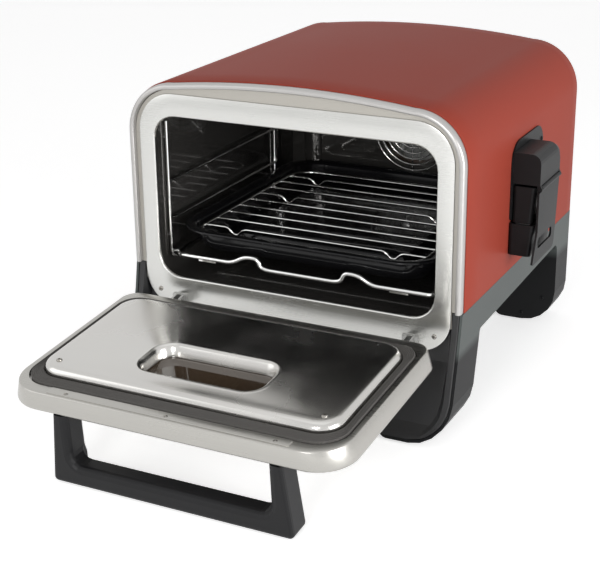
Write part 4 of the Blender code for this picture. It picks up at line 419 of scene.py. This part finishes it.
def skinLoops(loops, ring=False, maker=None):
    # faces from each loop of points to the next; the ends are closed, or a ring joins them
    maker = maker or bmesh.new()
    rows = [[maker.verts.new(point) for point in loop] for loop in loops]
    pairs = list(zip(rows, rows[1:]))
    if ring:
        pairs.append((rows[-1], rows[0]))
    for first, second in pairs:
        joinRows(maker, first, second)
    if not ring:
        maker.faces.new(rows[0])
        maker.faces.new(rows[-1])
    return maker


def bendPath(points, radius, steps=5, closed=False):
    # replaces each corner of the path by a smooth bend
    points = [Vector(point) for point in points]
    count = len(points)
    bent = []
    for index, point in enumerate(points):
        if not closed and index in (0, count - 1):
            bent.append(point)
            continue
        before = points[index - 1] - point
        after = points[(index + 1) % count] - point
        reach = min(radius, before.length * 0.48, after.length * 0.48)
        start = point + before.normalized() * reach
        end = point + after.normalized() * reach
        for step in range(steps + 1):
            share = step / steps
            bent.append(start * (1 - share) ** 2 + point * 2 * share * (1 - share) + end * share ** 2)
    return bent


def wire(points, radius, sides=12, closed=False, maker=None):
    # a round wire along the path, its section carried along without twist
    points = [Vector(point) for point in points]
    count = len(points)
    loops = []
    side = None
    for index, point in enumerate(points):
        if closed:
            along = (points[(index + 1) % count] - points[index - 1]).normalized()
        else:
            along = (points[min(index + 1, count - 1)] - points[max(index - 1, 0)]).normalized()
        if side is None:
            side = along.orthogonal().normalized()
        side = (side - along * side.dot(along)).normalized()
        across = along.cross(side)
        loops.append([point + (side * u + across * v) * radius for u, v in roundLoop(0, 0, 1, sides)])
    maker = maker or bmesh.new()
    if not closed:
        return skinLoops(loops, maker=maker)
    rows = [[maker.verts.new(point) for point in loop] for loop in loops]
    turn = min(range(sides), key=lambda shift: (loops[-1][shift] - loops[0][0]).length)
    for first, second in zip(rows, rows[1:]):
        joinRows(maker, first, second)
    joinRows(maker, rows[-1], rows[0], -turn)
    return maker


def meshPiece(name, maker, finish, body, stands=(), smoothAngle=38):
    bmesh.ops.recalc_face_normals(maker, faces=maker.faces)
    mesh = bpy.data.meshes.new(name)
    maker.to_mesh(mesh)
    maker.free()
    mesh.shade_smooth()
    mesh.set_sharp_from_angle(angle=math.radians(smoothAngle))
    mesh.materials.append(finish)
    piece = bpy.data.objects.new(name, mesh)
    scene.collection.objects.link(piece)
    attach(piece, body)
    if stands:
        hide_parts(*stands)


def crossLoop(radius, reach, half, corner=0.0003):
    # a round loop and, with as many points, the cross of the recess inside it
    outer = []
    inner = []
    for quarter in range(4):
        spin = Matrix.Rotation(math.radians(90 * quarter), 2)
        for u, v in ((reach, -half), (reach, half), (half + corner, half), (half, half + corner)):
            inner.append(tuple(spin @ Vector((u, v))))
            angle = math.atan2(v, u) + math.radians(90 * quarter)
            outer.append((radius * math.cos(angle), radius * math.sin(angle)))
    return outer, inner


def screwHead(maker, spot, out, radius):
    # a low round head with a cross recess
    turn = Vector(out).to_track_quat("Z", "Y").to_matrix()
    outer, recess = crossLoop(radius, radius * 0.55, radius * 0.13)
    narrow = [(u * 0.72, v * 0.72) for u, v in recess]
    sections = ((outer, 1, -0.0004), (outer, 1, radius * 0.18), (outer, 0.9, radius * 0.34),
                (outer, 0.72, radius * 0.44), (recess, 1, radius * 0.48), (narrow, 1, radius * 0.05))
    skinLoops([[spot + turn @ Vector((u * share, v * share, height)) for u, v in loop]
               for loop, share, height in sections], maker=maker)


def screwSet(name, places, out, radius, body, finish=None):
    maker = bmesh.new()
    for spot in places:
        screwHead(maker, spot, out, radius)
    meshPiece(name, maker, finish or screwSteel, body, smoothAngle=50)


# the painted cover, its front rim and the steel plate round the opening
shell = {"half": 0.212, "top": 0.386, "low": 0.150, "corner": 0.062, "depth": 0.420, "crownRadius": 1.25,
         "rimWidth": 0.008, "rimDepth": 0.010, "gap": 0.0003, "sheet": 0.0012, "edge": 0.0008, "fold": 0.004}


def coverLine(inset, steps=20, crownPoints=14):
    # from the lower right, up and over the crown, down to the lower left, seen from the front
    radius = shell["corner"] - inset
    half = shell["half"] - inset
    top = shell["top"] - inset
    flat = shell["half"] - shell["corner"]
    drop = shell["crownRadius"] - math.sqrt(shell["crownRadius"] ** 2 - flat ** 2)
    low = shell["low"]
    right = [(half, low), (half, (low + top - radius - drop) / 2)]
    for step in range(steps + 1):
        angle = math.pi / 2 * step / steps
        right.append((flat + radius * math.cos(angle), top - drop - radius + radius * math.sin(angle)))
    crown = []
    for step in range(1, crownPoints):
        x = flat * (1 - 2 * step / crownPoints)
        crown.append((x, top - (shell["crownRadius"] - math.sqrt(shell["crownRadius"] ** 2 - x ** 2))))
    return right + crown + [(-x, z) for x, z in reversed(right)]


def coverSkin(sections):
    # a strip round the cover: each entry is an inset and a place from front to back
    maker = bmesh.new()
    rows = [[maker.verts.new(at(x, y, z)) for x, z in coverLine(inset)] for inset, y in sections]
    for first, second in zip(rows, rows[1:] + rows[:1]):
        joinRows(maker, first, second, closed=False)
    maker.faces.new([row[0] for row in rows])
    maker.faces.new([row[-1] for row in rows])
    return maker


def buildCover():
    front = shell["rimDepth"] + shell["gap"]
    back = shell["depth"]
    edge = shell["edge"]
    fold = shell["fold"]
    sheet = shell["sheet"]
    sections = [(edge, front), (edge * 0.3, front + edge * 0.3), (0, front + edge)]
    sections += [(0, front + (back - front) * share) for share in (0.1, 0.35, 0.65, 0.95)]
    sections += [(0, back - edge), (edge * 0.3, back - edge * 0.3), (edge, back), (fold, back),
                 (fold, back - sheet), (sheet, back - sheet * 2), (sheet, front + edge), (sheet, front)]
    meshPiece("paintedCover", coverSkin(sections), terracottaPaint, "oven", ("outer_cover",))
    width = shell["rimWidth"]
    rim = [(0.0013, shell["rimDepth"]), (0.0013, 0.0042), (0.0016, 0.0026), (0.0024, 0.0012), (0.0036, 0.0004),
           (0.0050, 0.0), (width - 0.0012, 0.0), (width - 0.0004, 0.0006), (width, 0.0016),
           (width, shell["rimDepth"])]
    meshPiece("frontRimBand", coverSkin(rim), rimPaint, "oven", ("front_rim",))


plateEdge = {"half": 0.198, "low": 0.098, "high": 0.363, "lowRadius": 0.040, "highRadius": 0.046, "y": 0.005,
             "thick": 0.0012, "screwX": 0.179, "screwZ": 0.118, "screwRadius": 0.0030}
plateHole = {"half": 0.178, "low": 0.137, "high": 0.336, "radius": 0.028}


def buildFacePlate():
    thick = plateEdge["thick"]
    loops = []
    for form, grow, back in (
            (plateEdge, 0.0, 0.0007), (plateEdge, -0.0003, 0.0002), (plateEdge, -0.0009, 0.0),
            (plateHole, 0.0022, 0.0), (plateHole, 0.0010, 0.0002), (plateHole, 0.0003, 0.0007),
            (plateHole, 0.0, 0.0015), (plateHole, 0.0, 0.0035), (plateHole, 0.0008, 0.0035),
            (plateHole, 0.0012, 0.0018), (plateHole, 0.0022, thick), (plateEdge, -0.0009, thick)):
        loops.append([at(x, plateEdge["y"] + back, z) for x, z in grownLoop(form, grow)])
    meshPiece("openingPlate", skinLoops(loops, ring=True), plateSteel, "oven", ("face_plate",))


buildCover()
buildFacePlate()
plateScrewPlaces = [at(side * plateEdge["screwX"], plateEdge["y"], plateEdge["screwZ"]) for side in (-1, 1)]
screwSet("plateScrews", plateScrewPlaces, (0, -1, 0), plateEdge["screwRadius"], "oven")
print("cover, rim and opening plate")

# the drop-down door
door = {"inside": 0.0254, "outer": 0.0014, "half": 0.201, "draft": 0.006, "low": 0.0135, "high": 0.2635,
        "lowRadius": 0.020, "highRadius": 0.044, "edge": 0.005, "sheet": 0.0015, "gap": 0.0003,
        "insideEdge": 0.0017, "panelScrewX": 0.158, "panelScrewOut": 0.2096, "panelScrewRadius": 0.0033}
seal = {"half": 0.188, "low": 0.026, "high": 0.247, "lowRadius": 0.024, "highRadius": 0.034, "proud": 0.0017,
        "thick": 0.0052}
raised = {"half": 0.1775, "low": 0.039, "high": 0.229, "radius": 0.028, "proud": 0.010, "bevel": 0.0085}
bowl = {"half": 0.0755, "low": 0.1305, "high": 0.1965, "radius": 0.022, "deep": 0.012, "slope": 0.006,
        "lip": 0.0007}
pane = {"half": 0.118, "low": 0.075, "high": 0.195, "radius": 0.022}


def doorLoop(form, grow, height):
    return [onDoor(u, v, height) for u, v in grownLoop(form, grow)]


def doorLine(inset, height):
    # the pressing widens towards its outer face
    flare = door["draft"] * (door["inside"] - height) / (door["inside"] - door["outer"])
    return doorLoop(dict(door, half=door["half"] - door["draft"] + flare), -inset, height)


def sealLine(grow, height):
    return doorLoop(seal, grow, height)


def raisedLine(inset, height):
    return doorLoop(raised, -inset, height)


def bowlLine(inset, height):
    return doorLoop(bowl, -inset, height)


def buildDoorShell():
    inside = door["inside"]
    outer = door["outer"]
    edge = door["edge"]
    sheet = door["sheet"]
    loops = [sealLine(0.0016, inside), sealLine(0.0008, inside - 0.0002), sealLine(0.0004, inside - 0.0008),
             sealLine(0.0003, inside - 0.0030), sealLine(0.0015, inside - 0.0030),
             sealLine(0.0019, inside - sheet), doorLine(sheet + 0.002, inside - sheet),
             doorLine(sheet, inside - sheet * 2), doorLine(sheet, outer + edge + sheet / 2),
             doorLine(edge + sheet / 2, outer + sheet), doorLoop(pane, 0, outer + sheet),
             doorLoop(pane, 0, outer)]
    for step in range(5):
        turn = math.pi / 2 * step / 4
        loops.append(doorLine(edge * (1 - math.sin(turn)), outer + edge * (1 - math.cos(turn))))
    bend = door["insideEdge"]
    for step in range(1, 6):
        turn = math.pi / 2 * step / 5
        loops.append(doorLine(bend * (1 - math.cos(turn)), inside - bend * (1 - math.sin(turn))))
    maker = skinLoops(loops, ring=True)
    meshPiece("doorShellPressed", maker, doorSteel, "door", ("door_shell",))


def buildSeal(ribs=7, ribDepth=0.0005):
    # ribs run along the band; a groove is left beside the steel and beside the raised panel
    top = door["inside"] + seal["proud"] - ribDepth / 2
    low = door["inside"] + seal["proud"] - seal["thick"]
    outerLine = sealLine(-0.0012, 0)
    innerLine = raisedLine(-0.0012, 0)
    shoulder = top - 0.0014
    loops = [[point + doorUp * height for point in outerLine] for height in (low, shoulder)]
    count = ribs * 4
    for step in range(count + 1):
        share = step / count
        height = top + ribDepth / 2 * math.cos(2 * math.pi * ribs * share + math.pi)
        slide = 0.03 + 0.94 * share
        loops.append([a.lerp(b, slide) + doorUp * height for a, b in zip(outerLine, innerLine)])
    loops += [[point + doorUp * height for point in innerLine] for height in (shoulder, low)]
    maker = skinLoops(loops, ring=True)
    meshPiece("doorSealBand", maker, sealCloth, "door", ("door_gasket",), 80)


def buildInnerPanel():
    inside = door["inside"]
    face = inside + raised["proud"]
    bevel = raised["bevel"]
    shelf = inside + seal["proud"] - seal["thick"] - door["gap"]
    thin = 0.0010
    foot = 0.0008
    loops = [sealLine(-0.0004, shelf), raisedLine(0.0, shelf), raisedLine(0.0, inside + foot)]
    for step in range(1, 9):
        turn = math.pi / 2 * step / 8
        rise = foot + (raised["proud"] - foot) * math.sin(turn) ** 0.9
        loops.append(raisedLine(bevel * (1 - math.cos(turn)), inside + rise))
    lip = bowl["lip"]
    loops += [raisedLine(bevel + 0.006, face), bowlLine(-0.0060, face), bowlLine(-0.0042, face + lip * 0.5),
              bowlLine(-0.0026, face + lip), bowlLine(-0.0012, face + lip * 0.6)]
    for share, drop in ((0.10, 0.03), (0.30, 0.14), (0.52, 0.34), (0.74, 0.62), (0.92, 0.88), (1.0, 1.0)):
        loops.append(bowlLine(bowl["slope"] * share, face - bowl["deep"] * drop))
    loops += [bowlLine(bowl["slope"], face - bowl["deep"] - thin), bowlLine(-0.0010, face - thin * 2),
              raisedLine(bevel + thin, face - thin * 1.6), raisedLine(thin, inside - thin),
              raisedLine(thin, shelf - thin), sealLine(-0.0004, shelf - thin)]
    meshPiece("doorInnerPressing", skinLoops(loops, ring=True), mirrorSteel, "door",
              ("door_inner_panel",), 50)


strip = {"left": -0.1410, "right": 0.1430, "low": 0.2482, "high": 0.2604, "top": 0.0263, "radius": 0.0022,
         "screwX": (-0.118, 0.003, 0.127), "screwOut": 0.2562, "screwSunk": 0.0011, "screwRadius": 0.0031}


def buildDoorStrip():
    loops = []
    top = strip["top"]
    sections = ((0, door["inside"] - 0.0004), (0, top - 0.0003), (0.0003, top - 0.0001), (0.0007, top))
    for inset, height in sections:
        radius = strip["radius"] - inset
        outline = roundedLoop(strip["left"] + inset, strip["right"] - inset, strip["low"] + inset,
                              strip["high"] - inset, radius, radius, 5, 3)
        loops.append([onDoor(u, v, height) for u, v in outline])
    meshPiece("doorEdgeStrip", skinLoops(loops), doorSteel, "door")


buildDoorShell()
buildSeal()
buildInnerPanel()
buildDoorStrip()
stripScrewPlaces = [onDoor(x, strip["screwOut"], strip["top"] - strip["screwSunk"]) for x in strip["screwX"]]
screwSet("doorStripScrews", stripScrewPlaces, doorUp, strip["screwRadius"], "door")
panelScrewPlaces = [onDoor(side * door["panelScrewX"], door["panelScrewOut"], door["inside"] + raised["proud"])
                    for side in (-1, 1)]
screwSet("doorPanelScrews", panelScrewPlaces, doorUp, door["panelScrewRadius"], "door")
print("door pressings, seal and screws")

# rack guides, wire frame, pan and roast rack
guide = {"x": 0.183, "front": 0.040, "back": 0.318, "low": 0.146, "high": 0.320, "wire": 0.0021,
         "rails": (0.199, 0.247), "railX": 0.1795, "carryX": 0.1715, "carryWire": 0.0025, "inset": 0.012,
         "wall": 0.1857, "stubWire": 0.0018, "gap": 0.0003}
tray = {"wire": 0.003, "z": 0.1604, "half": 0.168, "front": 0.030, "rear": 0.372, "corner": 0.010,
        "drop": 0.004, "rise": 0.006, "centre": 0.0065, "humpIn": 0.053, "humpOut": 0.092, "ramp": 0.009,
        "crossWire": 0.0025, "tabX": 0.126, "tabWide": 0.012, "tabDeep": 0.0025, "tabThick": 0.0022}


def buildGuide(name, side, node):
    g = guide
    x = g["x"]
    front = g["front"]
    back = g["back"]
    maker = bmesh.new()

    def bar(points, thick, bend=0.004, steps=5, sides=12):
        path = bendPath([at(side * across, y, z) for across, y, z in points], bend, steps)
        wire(path, thick, sides, maker=maker)

    bar([(g["railX"], front + 0.006, g["low"] + 0.002), (x, front, g["low"] + 0.006), (x, front, g["high"])],
        g["wire"])
    bar([(x, back, g["low"]), (x, back, g["high"])], g["wire"])
    for height in g["rails"]:
        bar([(x - 0.001, front - 0.001, height), (g["railX"], front + 0.005, height),
             (g["railX"], back - 0.005, height), (x - 0.001, back + 0.001, height)], g["wire"])
    # the frame's side wire lies on this one, so its height follows from the two radii
    reach = tray["wire"] + g["gap"] + g["carryWire"]
    carryZ = tray["z"] - math.sqrt(reach ** 2 - (g["carryX"] - tray["half"]) ** 2)
    bendX = x - g["wire"]
    bar([(bendX, front, carryZ), (g["carryX"], front + g["inset"], carryZ),
         (g["carryX"], back - g["inset"], carryZ), (bendX, back, carryZ)], g["carryWire"], 0.006, 6)
    for y in (front, back):
        for height in (g["low"] + 0.030, g["high"] - 0.020):
            bar([(x, y, height), (g["wall"], y, height)], g["stubWire"], sides=10)
    meshPiece(name, maker, chromeWire, "oven", (node,), 60)


def buildWireFrame():
    t = tray
    z = t["z"]
    wide = t["half"]
    front = t["front"]
    rear = t["rear"]
    turnY = front + 1.6 * t["corner"]
    low = z - t["drop"]
    dip = z - t["centre"]
    hump = z + t["rise"]
    half = [(t["humpIn"] - t["ramp"], dip), (t["humpIn"], dip + t["ramp"] / 4),
            (t["humpIn"] + t["ramp"] / 2, hump), (t["humpOut"] - 2 * t["ramp"], hump), (t["humpOut"], low)]
    bar = [(-x, height) for x, height in reversed(half)] + half
    path = [(-wide, front, low)] + [(x, front, height) for x, height in bar]
    path += [(wide, front, low), (wide, turnY, z), (wide, rear, z), (-wide, rear, z), (-wide, turnY, z)]
    path = bendPath([at(*point) for point in path], t["corner"] * 0.8, 6, closed=True)
    maker = wire(path, t["wire"], 14, closed=True)
    level = z + t["wire"] - t["crossWire"]
    for share in (0.27, 0.73):
        y = front + (rear - front) * share
        wire([at(-wide, y, level), at(wide, y, level)], t["crossWire"], 12, maker=maker)
    for side in (-1, 1):
        middle = side * t["tabX"]
        outline = roundedLoop(middle - t["tabWide"], middle + t["tabWide"], front - t["tabDeep"],
                              front + t["tabDeep"], 0.001, 0.001, 3, 1)
        top = low - t["wire"] / 2
        loops = [[at(u, v, height) for u, v in outline] for height in (top - t["tabThick"], top)]
        skinLoops(loops, maker=maker)
    meshPiece("wireFrame", maker, chromeWire, "wire_frame", ("accessory_frame",), 60)


pan = {"half": 0.1710, "front": 0.0180, "rear": 0.3700, "rim": 0.1940, "roll": 0.0030, "corner": 0.052,
       "wall": 0.012, "bottom": 0.026, "sheet": 0.0014, "floorInset": 0.030, "floor": 0.1778, "slope": 0.007,
       "gap": 0.0003, "bend": 0.45}


def buildPan():
    p = pan
    low = tray["z"] + tray["wire"] + p["gap"]
    rim = p["rim"]
    roll = p["roll"]
    wall = p["wall"]
    sheet = p["sheet"]
    bottom = p["bottom"]
    bend = low + (rim - low) * p["bend"]
    wallHigh = rim - 2 * roll

    def line(inset, height):
        half = p["half"] - inset
        radius = max(p["corner"] - inset, sheet)
        loop = roundedLoop(-half, half, p["front"] + inset, p["rear"] - inset, radius, radius, 12, 9)
        return [at(u, v, height) for u, v in loop]

    inner = bottom + p["floorInset"]
    raisedEdge = inner + p["slope"]
    loops = [line(raisedEdge, p["floor"] - sheet), line(inner, low), line(bottom + 0.002, low),
             line(bottom - 0.002, low + 0.0012), line(wall + roll, bend), line(wall + 0.0012, wallHigh),
             line(wall - 0.001, wallHigh + 0.0014)]
    for step in range(9):
        turn = math.pi * (-0.5 + step / 8)
        radius = roll / 2 * 0.98
        loops.append(line(radius - radius * math.cos(turn) + 0.0002,
                          rim - roll / 2 - 0.0004 + radius * math.sin(turn)))
    loops += [line(wall - 0.001, rim - 0.0010), line(wall + 0.001, rim - 0.0020),
              line(wall + sheet + 0.0012, rim - roll * 1.6), line(wall + roll + sheet, bend),
              line(bottom + sheet - 0.001, low + sheet + 0.001), line(bottom + sheet + 0.002, low + sheet),
              line(inner - sheet, low + sheet), line(raisedEdge - sheet - 0.001, p["floor"] - 0.0006),
              line(raisedEdge + 0.001, p["floor"])]
    meshPiece("roastingPan", skinLoops(loops), panEnamel, "pan", ("pan",), 45)


rack = {"wire": 0.0021, "cross": 0.0017, "z": 0.1878, "half": 0.1475, "pitch": 0.0287, "count": 9,
        "corner": 0.030, "front": 0.0345, "dip": 0.0080, "dipHalf": 0.011, "dipX": 0.104, "dipRows": (1, 6, 9)}


def buildRoastRack():
    r = rack
    rear = r["front"] + r["pitch"] * (r["count"] + 1)
    loop = roundedLoop(-r["half"], r["half"], r["front"], rear, r["corner"], r["corner"], 10, 4)
    maker = wire([at(x, y, r["z"]) for x, y in loop], r["wire"], 12, closed=True)
    for row in range(1, r["count"] + 1):
        y = r["front"] + r["pitch"] * row
        edge = min(row, r["count"] + 1 - row) * r["pitch"]
        inward = 0
        if edge < r["corner"]:
            inward = r["corner"] - math.sqrt(r["corner"] ** 2 - (r["corner"] - edge) ** 2)
        half = r["half"] - inward
        path = [at(-half, y, r["z"])]
        if row in r["dipRows"]:
            for centre in (-r["dipX"], r["dipX"]):
                for share, drop in ((-1, 0), (-0.28, 1), (0.28, 1), (1, 0)):
                    path.append(at(centre + r["dipHalf"] * share, y, r["z"] - r["dip"] * drop))
        path.append(at(half, y, r["z"]))
        wire(bendPath(path, 0.005, 6), r["cross"], 10, maker=maker)
    meshPiece("roastRack", maker, chromeWire, "roast_rack", ("roast_rack",), 60)


fanGuard = {"z": 0.247, "radius": 0.0563, "hub": 0.009, "wire": 0.0022, "rings": 6, "ribs": 4, "stand": 0.003,
            "wallY": 0.3797, "postWire": 0.0022}


def buildFanGuard():
    f = fanGuard
    face = f["wallY"] - f["stand"] - f["wire"] / 2
    maker = bmesh.new()
    pitch = (f["radius"] - f["hub"]) / f["rings"]
    for index in range(f["rings"]):
        radius = f["radius"] - pitch * index - f["wire"] / 2
        ring = roundLoop(0, f["z"], radius, 44)
        wire([at(x, face, z) for x, z in ring], f["wire"] / 2, 8, closed=True, maker=maker)
    reach = f["radius"] - f["wire"]
    for rib in range(f["ribs"]):
        angle = math.pi * rib / f["ribs"]
        ends = [(side * reach * math.cos(angle), f["z"] + side * reach * math.sin(angle)) for side in (-1, 1)]
        wire([at(x, face + f["wire"] / 3, z) for x, z in ends], f["wire"] / 2, 8, maker=maker)
    hub = [[at(x, y, z) for x, z in roundLoop(0, f["z"], radius, 24)] for radius, y in
           ((f["hub"] * 0.8, face - f["wire"] / 2), (f["hub"], face), (f["hub"], face + f["wire"] / 2))]
    skinLoops(hub, maker=maker)
    for quarter in range(4):
        angle = math.pi / 4 + math.pi / 2 * quarter
        x = reach * math.cos(angle)
        z = f["z"] + reach * math.sin(angle)
        wire([at(x, face, z), at(x, f["wallY"], z)], f["postWire"], 10, maker=maker)
    meshPiece("fanGuard", maker, chromeWire, "oven", ("fan_grille",), 50)


backBead = {"half": 0.167, "width": 0.027, "low": 0.151, "high": 0.322, "radius": 0.046, "proud": 0.0052,
            "wallY": 0.3800, "sunk": 0.0002, "screwX": 0.040, "screwZ": 0.176, "screwRadius": 0.0030}


def buildBackBead():
    # the rounded bead pressed into the back wall
    b = backBead
    loops = []
    for step in range(13):
        turn = math.pi * step / 12
        inset = b["width"] / 2 * (1 - math.cos(turn))
        depth = b["proud"] * math.sin(turn) ** 0.8
        line = grownLoop(b, -inset, 10, 5)
        loops.append([at(x, b["wallY"] + b["sunk"] - depth, z) for x, z in line])
    meshPiece("backWallBead", skinLoops(loops, ring=True), cavityEnamel, "oven", (), 60)


buildBackBead()
buildGuide("sideLadderLeft", -1, "rack_guide_left")
buildGuide("sideLadderRight", 1, "rack_guide_right")
buildWireFrame()
buildPan()
buildRoastRack()
buildFanGuard()
cavityScrewPlaces = [at(side * backBead["screwX"], backBead["wallY"], backBead["screwZ"]) for side in (-1, 1)]
screwSet("cavityScrews", cavityScrewPlaces, (0, -1, 0), backBead["screwRadius"], "oven")
print("wires, pan and fan guard")

# controls: scale marks round the dials and small numbers
control = {"dialX": 0.098, "markIn": 0.0200, "markOut": 0.0222, "longMark": 0.0012, "markWire": 0.00035,
           "printHeight": 0.0006, "numberSize": 0.0052, "numberRadius": 0.0262,
           "fieldRise": (0.050, 0.089), "fieldDepth": (-0.0126, 0.0047)}


def fieldFrame():
    # the sunk field of the front panel: across, up the field, and out of it
    low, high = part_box("display_window")
    depthLow, depthHigh = control["fieldDepth"]
    riseLow, riseHigh = control["fieldRise"]
    lean = math.atan((depthHigh - depthLow) / (riseHigh - riseLow))
    middle = (Vector(low) + Vector(high)) / 2
    return Matrix.Translation(middle) @ Matrix.Rotation(math.pi / 2 - lean, 4, "X")


fieldPlace = fieldFrame()


def onField(dialX, radius, angle):
    spot = Vector((dialX + radius * math.cos(angle), radius * math.sin(angle), control["printHeight"]))
    return fieldPlace @ spot


def buildScale(name, dialX):
    maker = bmesh.new()
    for step in range(11):
        angle = math.radians(225 - 27 * step)
        extra = control["longMark"] if step % 5 == 0 else 0
        ends = [onField(dialX, radius, angle) for radius in (control["markIn"], control["markOut"] + extra)]
        wire(ends, control["markWire"], 6, maker=maker)
    meshPiece(name, maker, printInk, "oven")


def buildNumber(name, words, dialX, angle):
    curve = bpy.data.curves.new(name, "FONT")
    curve.body = words
    curve.size = control["numberSize"]
    curve.extrude = 0.00012
    curve.align_x = "CENTER"
    curve.align_y = "CENTER"
    holder = bpy.data.objects.new(name, curve)
    curve.materials.append(printInk)
    scene.collection.objects.link(holder)
    turn = fieldPlace.to_3x3().to_4x4()
    holder.matrix_world = Matrix.Translation(onField(dialX, control["numberRadius"], angle)) @ turn
    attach(holder, "oven")


dials = (("heat", -control["dialX"], ("50", "150", "250")), ("time", control["dialX"], ("0", "30", "60")))
for label, dialX, numbers in dials:
    buildScale(label + "Scale", dialX)
    for number, angle in zip(numbers, (225, 90, -45)):
        buildNumber(label + "Number" + number, number, dialX, math.radians(angle))
print("control markings")

# smoke box trim and screws
box = {"half": 0.212, "flangeThick": 0.002, "hoodFront": 0.155, "hoodRear": 0.232, "hoodOut": 0.0355,
       "hoodLow": 0.2600, "lipWire": 0.0008, "screwProud": 0.0003, "screwRadius": 0.0028,
       "screws": ((0.262, 0.232), (0.262, 0.288))}
rear = {"sideX": 0.195, "sideZ": (0.170, 0.270, 0.330), "lowX": (-0.150, 0.0, 0.150), "lowZ": 0.132,
        "screwRadius": 0.0030}
leg = {"screws": ((0.167, 0.368, 0.012), (0.195, 0.368, 0.038)), "screwRadius": 0.0026}


def buildHoodLip():
    thick = box["lipWire"]
    outX = box["half"] + box["hoodOut"] - 0.0009
    front = box["hoodFront"] + thick
    low = box["hoodLow"] + thick
    path = [at(box["half"] + 0.003, front, low), at(outX, front, low), at(outX, box["hoodRear"] - thick, low)]
    maker = wire(bendPath(path, 0.003, 5), thick, 8)
    meshPiece("hoodLip", maker, smokePaint, "oven")


buildHoodLip()
flangeFace = box["half"] + box["flangeThick"] + box["screwProud"]
flangeScrewPlaces = [at(flangeFace, y, z) for y, z in box["screws"]]
screwSet("flangeScrews", flangeScrewPlaces, (1, 0, 0), box["screwRadius"], "oven", smokePaint)
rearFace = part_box("rear_cover")[1][1] + place["backShift"]
rearScrewPlaces = [at(side * rear["sideX"], rearFace, z) for side in (-1, 1) for z in rear["sideZ"]]
rearScrewPlaces += [at(x, rearFace, rear["lowZ"]) for x in rear["lowX"]]
screwSet("rearScrews", rearScrewPlaces, (0, 1, 0), rear["screwRadius"], "oven")
screwSet("legScrews", [at(*spot) for spot in leg["screws"]], (0, -1, 0), leg["screwRadius"], "oven",
         smokePaint)
print("smoke box trim and body screws")

# floor, light and camera
stage = {"floorColour": (0.86, 0.86, 0.86), "floorGlow": 0.62, "floorSize": 12.0, "worldLight": 0.32}


def cameraOrMirror(tree):
    # 1 where the camera, a reflection or glass looks at it, 0 for the light that it casts
    seen = tree.nodes.new("ShaderNodeLightPath").outputs
    first = mathNode(tree, "MAXIMUM", seen["Is Camera Ray"], seen["Is Glossy Ray"])
    return mathNode(tree, "MAXIMUM", first, seen["Is Transmission Ray"])


def buildStage():
    floorMesh = bpy.data.meshes.new("studioFloor")
    maker = bmesh.new()
    bmesh.ops.create_grid(maker, x_segments=4, y_segments=4, size=stage["floorSize"] / 2)
    maker.to_mesh(floorMesh)
    maker.free()
    floor = bpy.data.objects.new("studioFloor", floorMesh)
    scene.collection.objects.link(floor)
    paper = bpy.data.materials.new("studioPaper")
    paper.use_nodes = True
    tree = paper.node_tree
    shader = tree.nodes["Principled BSDF"]
    shader.inputs["Base Color"].default_value = (*stage["floorColour"], 1)
    shader.inputs["Roughness"].default_value = 0.9
    shader.inputs["Emission Color"].default_value = (1, 1, 1, 1)
    glow = mathNode(tree, "MULTIPLY", cameraOrMirror(tree), stage["floorGlow"])
    feed(tree, shader.inputs["Emission Strength"], glow)
    floorMesh.materials.append(paper)
    world = bpy.data.worlds.new("studioWorld")
    scene.world = world
    world.use_nodes = True
    tree = world.node_tree
    backdrop = tree.nodes["Background"]
    strength = mathNode(tree, "MULTIPLY_ADD", cameraOrMirror(tree), 1.0 - stage["worldLight"])
    strength.node.inputs[2].default_value = stage["worldLight"]
    feed(tree, backdrop.inputs["Strength"], strength)
    backdrop.inputs["Color"].default_value = (1, 1, 1, 1)


def addLamp(name, spot, aim, size, watts):
    lamp = bpy.data.lights.new(name, "AREA")
    lamp.shape = "RECTANGLE"
    lamp.size, lamp.size_y = size
    lamp.energy = watts
    holder = bpy.data.objects.new(name, lamp)
    scene.collection.objects.link(holder)
    holder.location = spot
    holder.rotation_euler = (Vector(aim) - Vector(spot)).to_track_quat("-Z", "Y").to_euler()


buildStage()
addLamp("softRight", (1.95, -0.7, 0.50), (0, 0, 0.2), (1.1, 0.9), 27)
addLamp("softLeft", (-1.6, -1.3, 1.0), (0, -0.1, 0.2), (1.4, 1.4), 6)
addLamp("softTop", (0.0, -0.4, 2.0), (0, -0.1, 0.1), (1.6, 1.2), 1.5)
addLamp("softFront", (0.25, -1.9, 0.75), (0, 0.1, 0.22), (0.5, 0.5), 10)
scene.view_settings.view_transform = "Standard"

view = {"spot": (0.6871, -1.3326, 0.7279), "forward": (-0.42025, 0.83601, -0.35282), "roll": -0.64,
        "lens": 83.05, "shiftX": -0.0034, "shiftY": -0.0058}


def buildCamera():
    lens = bpy.data.cameras.new("productCamera")
    lens.sensor_fit = "HORIZONTAL"
    lens.sensor_width = 36
    lens.lens = view["lens"]
    lens.shift_x = view["shiftX"]
    lens.shift_y = view["shiftY"]
    camera = bpy.data.objects.new("productCamera", lens)
    scene.collection.objects.link(camera)
    forward = Vector(view["forward"]).normalized()
    right = forward.cross(Vector((0, 0, 1))).normalized()
    up = right.cross(forward)
    roll = math.radians(view["roll"])
    tiltedRight = right * math.cos(roll) + up * math.sin(roll)
    tiltedUp = tiltedRight.cross(forward)
    turn = Matrix((tiltedRight, tiltedUp, -forward)).transposed().to_4x4()
    camera.matrix_world = Matrix.Translation(at(*view["spot"])) @ turn
    scene.camera = camera


buildCamera()
print("stage, lamps and camera ready")
